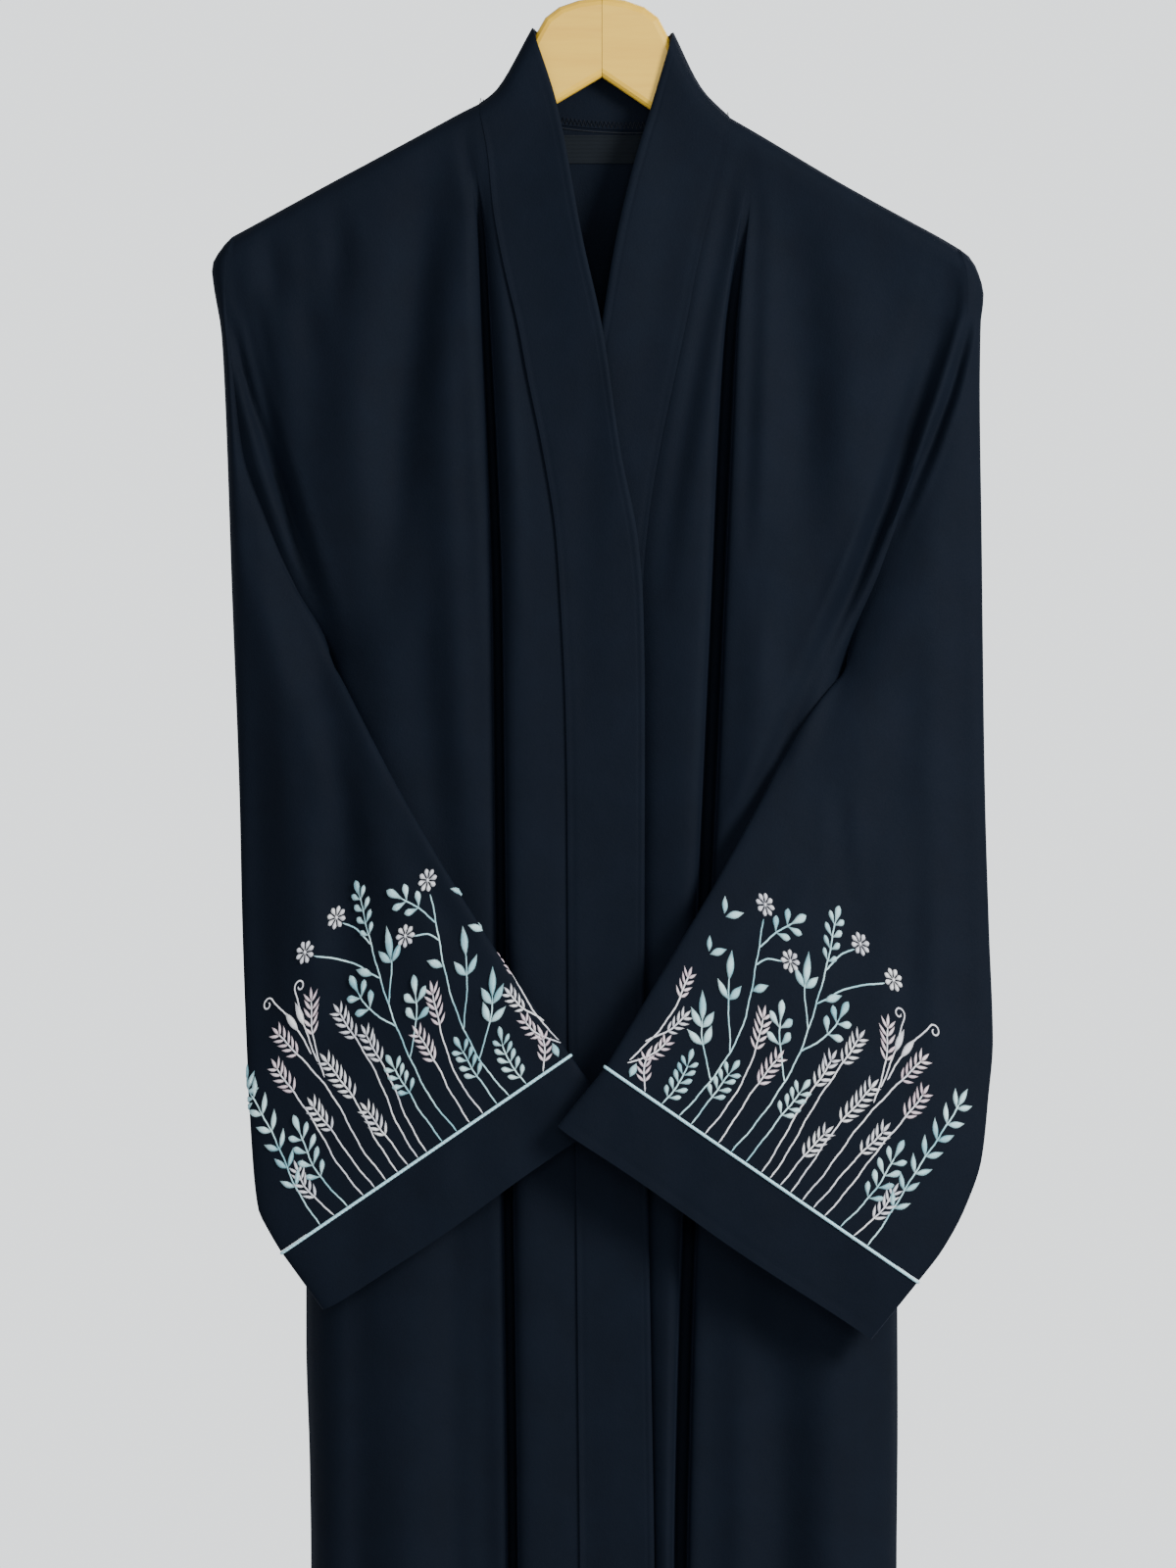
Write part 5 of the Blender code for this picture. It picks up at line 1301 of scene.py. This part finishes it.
def sleeve_chart(rings, layer):
    """Places and outward directions on an even grid of (h, c), for the front (-1) or back (1) of a sleeve."""
    middle = AROUND // 4 if layer < 0 else 3 * AROUND // 4
    reach = np.arange(-REACH, REACH + STEP, STEP)
    lines = []
    for ring in rings[::-1][:48]:
        run = np.concatenate([[0], np.cumsum(np.linalg.norm(np.diff(ring, axis=0), axis=1))])
        at = (run[middle] - layer * reach) % run[-1]
        lines.append(np.stack([np.interp(at, run, ring[:, k]) for k in range(3)], 1))
    lines = np.array(lines)
    heights, levels = lengths(lines, 0), np.arange(-2 * STEP, 0.19, STEP)
    places = np.array([
        [np.interp(levels, heights[:, j], lines[:, j, k]) for k in range(3)] for j in range(len(reach))
    ]).transpose(2, 0, 1)
    up = np.gradient(places, axis=0)
    up[:4] = up[4]
    outward = unit(np.cross(np.gradient(places, axis=1), up))
    return places, outward * np.sign(outward[20, len(reach) // 2, 1] * layer)


def lay(chart, c, h, lift):
    """Points at arrays of c, h and lift, all in mm, on a chart."""
    places, outward = chart
    j = np.clip((c / 1000 + REACH) / STEP, 0, places.shape[1] - 1.001)
    i = np.clip(h / 1000 / STEP + 2, 0, places.shape[0] - 1.001)
    i0, j0 = i.astype(int), j.astype(int)
    a, b = (i - i0)[..., None], (j - j0)[..., None]

    def blend(field):
        low = field[i0, j0] * (1 - b) + field[i0, j0 + 1] * b
        return low * (1 - a) + (field[i0 + 1, j0] * (1 - b) + field[i0 + 1, j0 + 1] * b) * a

    return blend(places) + blend(outward) * lift[..., None] / 1000


# %% [markdown]
# ## Satin stitch
# The threads of a satin stitch lie side by side across a leaf, packed over the cloth, so the leaf stands up as a
# low cushion that catches light along one side. Broad leaves have two rows that meet in a groove. Each leaf's UV
# map runs aslant, so one striped pattern gives every leaf its threads. They are drawn 0.55 mm apart, twice the
# real spacing, because finer ones would not show. Their colour has painted shade between the threads and towards
# each leaf's edge.


# %% Rayon thread
def rayon(name, light, dark):
    """Bright rayon embroidery thread: stripes along the stitches, a slow change of tone between leaves, and painted
    shade between the threads and towards each leaf's edge.
    """
    made = material(
        name, light, Roughness=0.30, Specular_IOR_Level=1.0, Sheen_Weight=0.2, Sheen_Roughness=0.35,
    )
    along = node(made, "ShaderNodeUVMap", {"uv_map": "UVMap"})
    stripes = {"Scale": 571, "Distortion": 0.8, "Detail": 1}
    threads = node(made, "ShaderNodeTexWave", stripes, {"Vector": along}, "Fac")
    place = node(made, "ShaderNodeTexCoord", out="Object")
    patch = node(made, "ShaderNodeTexNoise", {"Scale": 60, "Detail": 1}, {"Vector": place})
    spread = node(made, "ShaderNodeMapRange", {"From Min": 0.35, "From Max": 0.65}, {"Value": patch})
    tone = node(made, "ShaderNodeMixRGB", tones(light, dark), {"Fac": spread})
    # Painted shade: a leaf's colour darkens towards its edges, by each point's share of the leaf's height, and
    # between the threads.
    height_for_painted_shade = node(made, "ShaderNodeAttribute", {"attribute_name": "height_for_painted_shade"}, out="Fac")
    turned = node(made, "ShaderNodeMapRange", {"To Min": 0.34, "To Max": 1.0}, {"Value": height_for_painted_shade})
    gap = node(made, "ShaderNodeMapRange", {"To Min": 0.80, "To Max": 1.0}, {"Value": threads})
    both = node(made, "ShaderNodeMath", {"operation": "MULTIPLY"}, {0: gap, 1: turned})
    painted_shade_mix = {"blend_type": "MULTIPLY", "Fac": 1.0}
    shade = node(made, "ShaderNodeMixRGB", painted_shade_mix, {"Color1": tone, "Color2": both})
    bump = node(made, "ShaderNodeBump", {"Strength": 0.6, "Distance": 0.0003}, {"Height": threads})
    feed(made, Base_Color=shade, Normal=bump)
    return made


THREADS = {
    "mint": rayon("mint_rayon_thread", "#d2fbff", "#86c6d4"),
    "blush": rayon("blush_rayon_thread", "#fff0f8", "#ddc6d4"),
    "pale": rayon("pale_rayon_thread", "#fcfdff", "#dcdeea"),
}


# %% Leaves and stems
STEM = 1.0  # width of a stem in mm
SPLIT = 3.6  # a leaf wider than this, in mm, has two rows of stitches that meet in a groove
GROOVE = 0.30  # depth of the groove, as a share of the leaf's rise
CUSHION = 0.40  # rise of a leaf, as a share of its width
SUNK = 0.05  # in mm, how far a leaf's edge is pulled into the cloth
SHAPES = {  # half width of a leaf along its length
    "grain": lambda s: np.sin(np.pi * s**0.82) ** 1.1,
    "pointed": lambda s: np.sin(np.pi * s**0.92) ** 1.2,
    "club": lambda s: 0.14 + 0.86 * np.sin(np.pi * np.clip(s, 0, 0.999) ** 1.9) ** 0.85,
}


def stitched(work, chart, c, h, lift, u, v):
    """Adds one small grid to a mesh, laid on the sleeve, with its stitch coordinates in metres and its share of
    height for painted shade.
    """
    mesh, uv, height_for_painted_shade = work
    made = bmesh.ops.create_grid(mesh, x_segments=c.shape[1] - 1, y_segments=c.shape[0] - 1, size=0.5)["verts"]
    spots = {}
    for vert, point, a, b in zip(made, lay(chart, c, h, lift).reshape(-1, 3), u.ravel(), v.ravel()):
        vert.co = point
        spots[vert] = (a / 1000, b / 1000)
    # Each point's share of the leaf's height, which the thread's colour turns into painted shade at the edges.
    for vert, rise in zip(made, np.ravel(lift / lift.max())):
        vert[height_for_painted_shade] = max(float(rise), 0.0)
    for face in {face for vert in made for face in vert.link_faces}:
        for loop in face.loops:
            loop[uv].uv = spots[loop.vert]


def leaf(work, chart, c, h, heading, length, width, shape="pointed", bend=0.0):
    """A leaf from (c, h) along a heading in degrees, where 0 is up and plus is outwards."""
    across, s = np.array([-1, -0.55, 0, 0.55, 1]), np.linspace(0, 1, 8)[:, None]
    half = SHAPES[shape](s) * width / 2
    angle = np.radians(heading + bend * s)
    t, along = across * half, s * length
    dome = np.sqrt(1 - across**2) - (GROOVE * (across == 0) if width > SPLIT else 0)
    lift = CUSHION * width * dome * np.clip(2.4 * half / width, 0, 1) - SUNK
    stitched(
        work, chart, c + along * np.sin(angle) + t * np.cos(angle), h + along * np.cos(angle) - t * np.sin(angle),
        lift, along + 0.7 * abs(t), t,
    )


def headings(line):
    """Headings in degrees along a line, where 0 is up and plus is outwards."""
    way = np.gradient(line, axis=0)
    return np.degrees(np.unwrap(np.arctan2(way[:, 0], way[:, 1])))


def path(points):
    """Distances, places and headings along an even smooth line through points."""
    line = np.array(through([np.array(point, float) for point in points], [8] * (len(points) - 1)))
    run = lengths(line[:, None], 0)[:, 0]
    at = np.linspace(0, run[-1], max(6, int(run[-1] / 1.8)))
    line = np.stack([np.interp(at, run, line[:, k]) for k in (0, 1)], 1)
    line[:, 0] += 0.22 * np.sin(at * 0.32 + points[0][0]) + 0.08 * np.sin(at * 1.1)  # a needle never keeps to a line
    return at, line, headings(line)


def stem(work, chart, at, line, heading, width):
    """A stem of slanting stitches along a line."""
    across, angle = np.array([-1, -0.5, 0.5, 1]), np.radians(heading)[:, None]
    t = across * width / 2 * np.clip(np.minimum(at - at[0], at[-1] - at) / 1.5 + 0.4, 0, 1)[:, None]
    lift = 0.50 * np.sqrt(1 - across**2) - 0.04 + 0 * t
    stitched(work, chart, line[:, :1] + t * np.cos(angle), line[:, 1:] - t * np.sin(angle), lift, at[:, None] + t, t)


# %% [markdown]
# ## Plants
# Every plant is a stem with pairs of leaves on its last stretch and one leaf at the tip. One short table says how
# each kind of plant is stitched.

# %% Kinds of plant
KINDS = {  # pairs, first gap and spacing, leaf length and width, spread in degrees, shape, tip length and width
    "wheat": (5, 0.8, 4.3, 8.2, 1.9, 47, "grain", 7.6, 2.1),
    "tall_wheat": (7, 0.8, 4.4, 8.4, 1.95, 47, "grain", 8.2, 2.2),
    "small_wheat": (4, 0.6, 4.0, 7.0, 1.8, 47, "grain", 6.8, 2.0),
    "sprig": (4, 1.2, 5.3, 8.2, 3.2, 56, "club", 10.0, 3.6),
    "small_sprig": (5, 1.2, 5.2, 7.8, 3.1, 56, "club", 9.6, 3.5),
    "fern": (4, 2.6, 8.0, 9.8, 3.7, 54, "club", 13.0, 4.1),
    "spray": (4, 0.8, 7.0, 7.6, 3.4, 50, "club", 11.0, 4.2),
    "pair": (2, 2.4, 9.0, 9.6, 4.3, 56, "club", 13.0, 4.6),
    "olive": (7, 1.8, 11.8, 11.8, 3.6, 46, "pointed", 13.0, 3.6),
    "trio": (1, 0.6, 0, 12.0, 4.6, 48, "pointed", 20.0, 5.0),
    "tall_trio": (1, 10.0, 0, 12.4, 4.6, 46, "pointed", 17.0, 5.0),
    "five": (2, 3.4, 9.4, 12.0, 4.6, 46, "pointed", 17.0, 4.9),
    "stem": (0, 0, 0, 0, 0, 0, "pointed", 0, 0),
}


def bowed(foot, tip, bow):
    """Three points of a stem that bows outwards between its foot and its tip."""
    foot, tip = np.array(foot, float), np.array(tip, float)
    run = (tip - foot) / np.linalg.norm(tip - foot)
    return foot, (foot + tip) / 2 + bow * np.array([run[1], -run[0]]), tip


def plant(work, stalk, chart, kind, points):
    """A bowed stem, which ends at the tip of the plant's last leaf. An ear of wheat stands on a pale stalk."""
    pairs, gap, spacing, length, width, spread, shape, tip, tip_width = KINDS[kind]
    at, line, heading = path(points)
    end = at[-1] - 0.8 * tip
    keep = at <= max(end, at[2])
    stem(stalk if shape == "grain" else work, chart, at[keep], line[keep], heading[keep], STEM)
    for k in range(pairs + (tip > 0)):
        where = max(at[-1] - tip - gap - spacing * (k - 1), 0.5) if k else at[-1] - tip
        c, h, way = (float(np.interp(where, at, values)) for values in (line[:, 0], line[:, 1], heading))
        if not k:
            leaf(work, chart, c, h, way, tip, tip_width, shape)
            continue
        size = 0.90 + 0.13 * math.sin(math.pi * k / (pairs + 1)) + 0.04 * math.sin(5.3 * k + points[0][0])
        for turn in (-1, 1):
            lead = way + turn * (spread + 3 * math.sin(k * 2.1 + turn + points[0][0]))
            leaf(work, chart, c, h, lead, length * size, width * size, shape, -9 * turn)


def daisy(work, chart, c, h, turn=0.0):
    """Eight round petals about a small knot."""
    for k in range(8):
        way = math.radians(turn + 45 * k)
        leaf(work, chart, c + math.sin(way), h + math.cos(way), turn + 45 * k, 5.2, 3.0, "club")
    leaf(work, chart, c - 1.2, h, 90, 2.4, 2.6)


def tendril(work, chart, points, bud_at, curl):
    """A thin stem with a spindle bud, which ends in a curl that winds outwards (1) or inwards (-1)."""
    at, line, heading = path(points)
    way, radius = math.radians(heading[-1]), 3.6
    centre = line[-1] + radius * curl * np.array([math.cos(way), -math.sin(way)])
    turns = np.linspace(0, 2 * math.pi * 1.05, 26)[1:, None]
    start = math.atan2(line[-1][0] - centre[0], line[-1][1] - centre[1])
    shrink = radius * (1 - 0.72 * turns / turns[-1])
    spiral = centre + shrink * np.concatenate([np.sin(start + curl * turns), np.cos(start + curl * turns)], 1)
    whole = np.concatenate([line, spiral])
    stem(work, chart, lengths(whole[:, None], 0)[:, 0], whole, headings(whole), STEM)
    c, h, lead = (float(np.interp(bud_at, at, values)) for values in (line[:, 0], line[:, 1], heading))
    leaf(work, chart, c, h, lead, 16, 4.2)


# %% The meadow
PLANTS = [  # kind, thread, foot (c, h), tip of the plant (c, h) and how far its stem bows outwards, all in mm
    ("olive", "mint", (73, 0), (87, 110), -5),
    ("wheat", "pale", (63, 0), (69, 40), 2),
    ("fern", "mint", (54, 0), (60, 62), 2),
    ("wheat", "blush", (43, 0), (64, 98), -4),
    ("wheat", "pale", (35, 0), (50, 66), -3),
    ("wheat", "blush", (27, 0), (58, 114), -8),
    ("wheat", "blush", (36, 70), (28, 120), 3),
    ("tall_wheat", "pale", (19, 0), (34, 84), -5),
    ("wheat", "pale", (12, 0), (20, 46), -2),
    ("wheat", "pale", (5, 0), (18, 104), -6),
    ("wheat", "pale", (-1, 0), (6, 84), -4),
    ("sprig", "mint", (-12, 0), (-3, 60), -2),
    ("spray", "mint", (-22, 0), (-16, 158), 5),
    ("pair", "mint", (-16, 50), (-34, 90), -3),
    ("pair", "mint", (-14.5, 70), (4, 112), 4),
    ("trio", "mint", (-14, 84), (-26, 124), -3),
    ("stem", "mint", (-13.5, 100), (21, 134), -3),
    ("stem", "mint", (-14, 120), (-1, 141), -2),
    ("wheat", "blush", (-31, 0), (-24, 66), -3),
    ("wheat", "blush", (-40, 0), (-42, 82), 3),
    ("sprig", "mint", (-50, 0), (-45, 46), -1),
    ("stem", "mint", (-58, 0), (-58, 124), 7),
    ("stem", "mint", (-55, 98), (-41, 109), -2),
    ("pair", "mint", (-56, 108), (-33, 140), -2),
    ("tall_trio", "mint", (-51.5, 46), (-70, 98), -3),
    ("five", "mint", (-53.5, 26), (-80, 68), -4),
    ("small_sprig", "mint", (-70, 0), (-72, 36), 2),
    ("small_wheat", "blush", (-100, 10), (-90, 76), 3),
    ("small_wheat", "pale", (-98, 24), (-82, 54), 2),
    ("small_wheat", "blush", (-100, 8), (-86, 36), 3),
    ("small_wheat", "blush", (-82, 0), (-94, 22), -2),
]
LEAVES = [  # thread, place, heading, length, width
    ("mint", -10, 104, 46, 13, 4.6), ("mint", -52, 84, 44, 12, 4.6), ("mint", -94, 2, -10, 9, 4.4),
    ("mint", -80, 112, 50, 13, 4.2), ("mint", -81, 113, -14, 10, 3.8),
    ("mint", -82, 88, 46, 12, 4.2), ("mint", -83, 89, -16, 9, 3.6),
]
DAISIES = [(26, 139), (2, 146), (-36, 112), (-59, 132)]
TENDRILS = [((39, 86), (54, 128), -2, 16, 1), ((37, 80), (38, 124), 1, 22, -1)]  # foot, end, bow, bud, curl
ALSO_BEHIND = {0, 2, 3, 4, 7, 9, 11, 12, 13, 15, 18, 19, 20, 21, 24, 26}  # rows of PLANTS that the backs have too


def meadow(side, layer):
    """All the plants of one layer of a sleeve, one mesh for each thread."""
    chart = sleeve_chart(SLEEVE_ROWS[side], layer)
    works = {}
    for thread in THREADS:
        mesh = bmesh.new()
        works[thread] = (mesh, mesh.loops.layers.uv.new("UVMap"), mesh.verts.layers.float.new("height_for_painted_shade"))
    tall = 1 if layer < 0 else 0.94
    for index, (kind, thread, foot, tip, bow) in enumerate(PLANTS):
        if layer < 0 or index in ALSO_BEHIND:
            plant(works[thread], works["pale"], chart, kind, bowed(foot, (tip[0], tall * tip[1]), bow))
    for thread, c, h, way, length, width in LEAVES if layer < 0 else []:
        leaf(works[thread], chart, c, h, way, length, width)
    for k, (c, h) in enumerate(DAISIES):
        if layer < 0 or k != 2:
            daisy(works["pale"], chart, c, tall * h, turn=11 * k)
    for foot, end, bow, bud, curl in TENDRILS if layer < 0 else []:
        tendril(works["pale"], chart, bowed(foot, end, bow), bud, curl)
    return works


for side in SIDES:
    for layer, place in ((-1, "front"), (1, "back")):
        for thread, (mesh, *_) in meadow(side, layer).items():
            mesh.normal_update()
            if sum(face.normal.y * layer * face.calc_area() for face in mesh.faces) < 0:
                bmesh.ops.reverse_faces(mesh, faces=mesh.faces)
            count = len(mesh.faces)
            add(f"stitches_{thread}_{place}_{side}", mesh, THREADS[thread], sharp=3)
            print(f"{thread} stitches, {place} {side}: {count} faces")
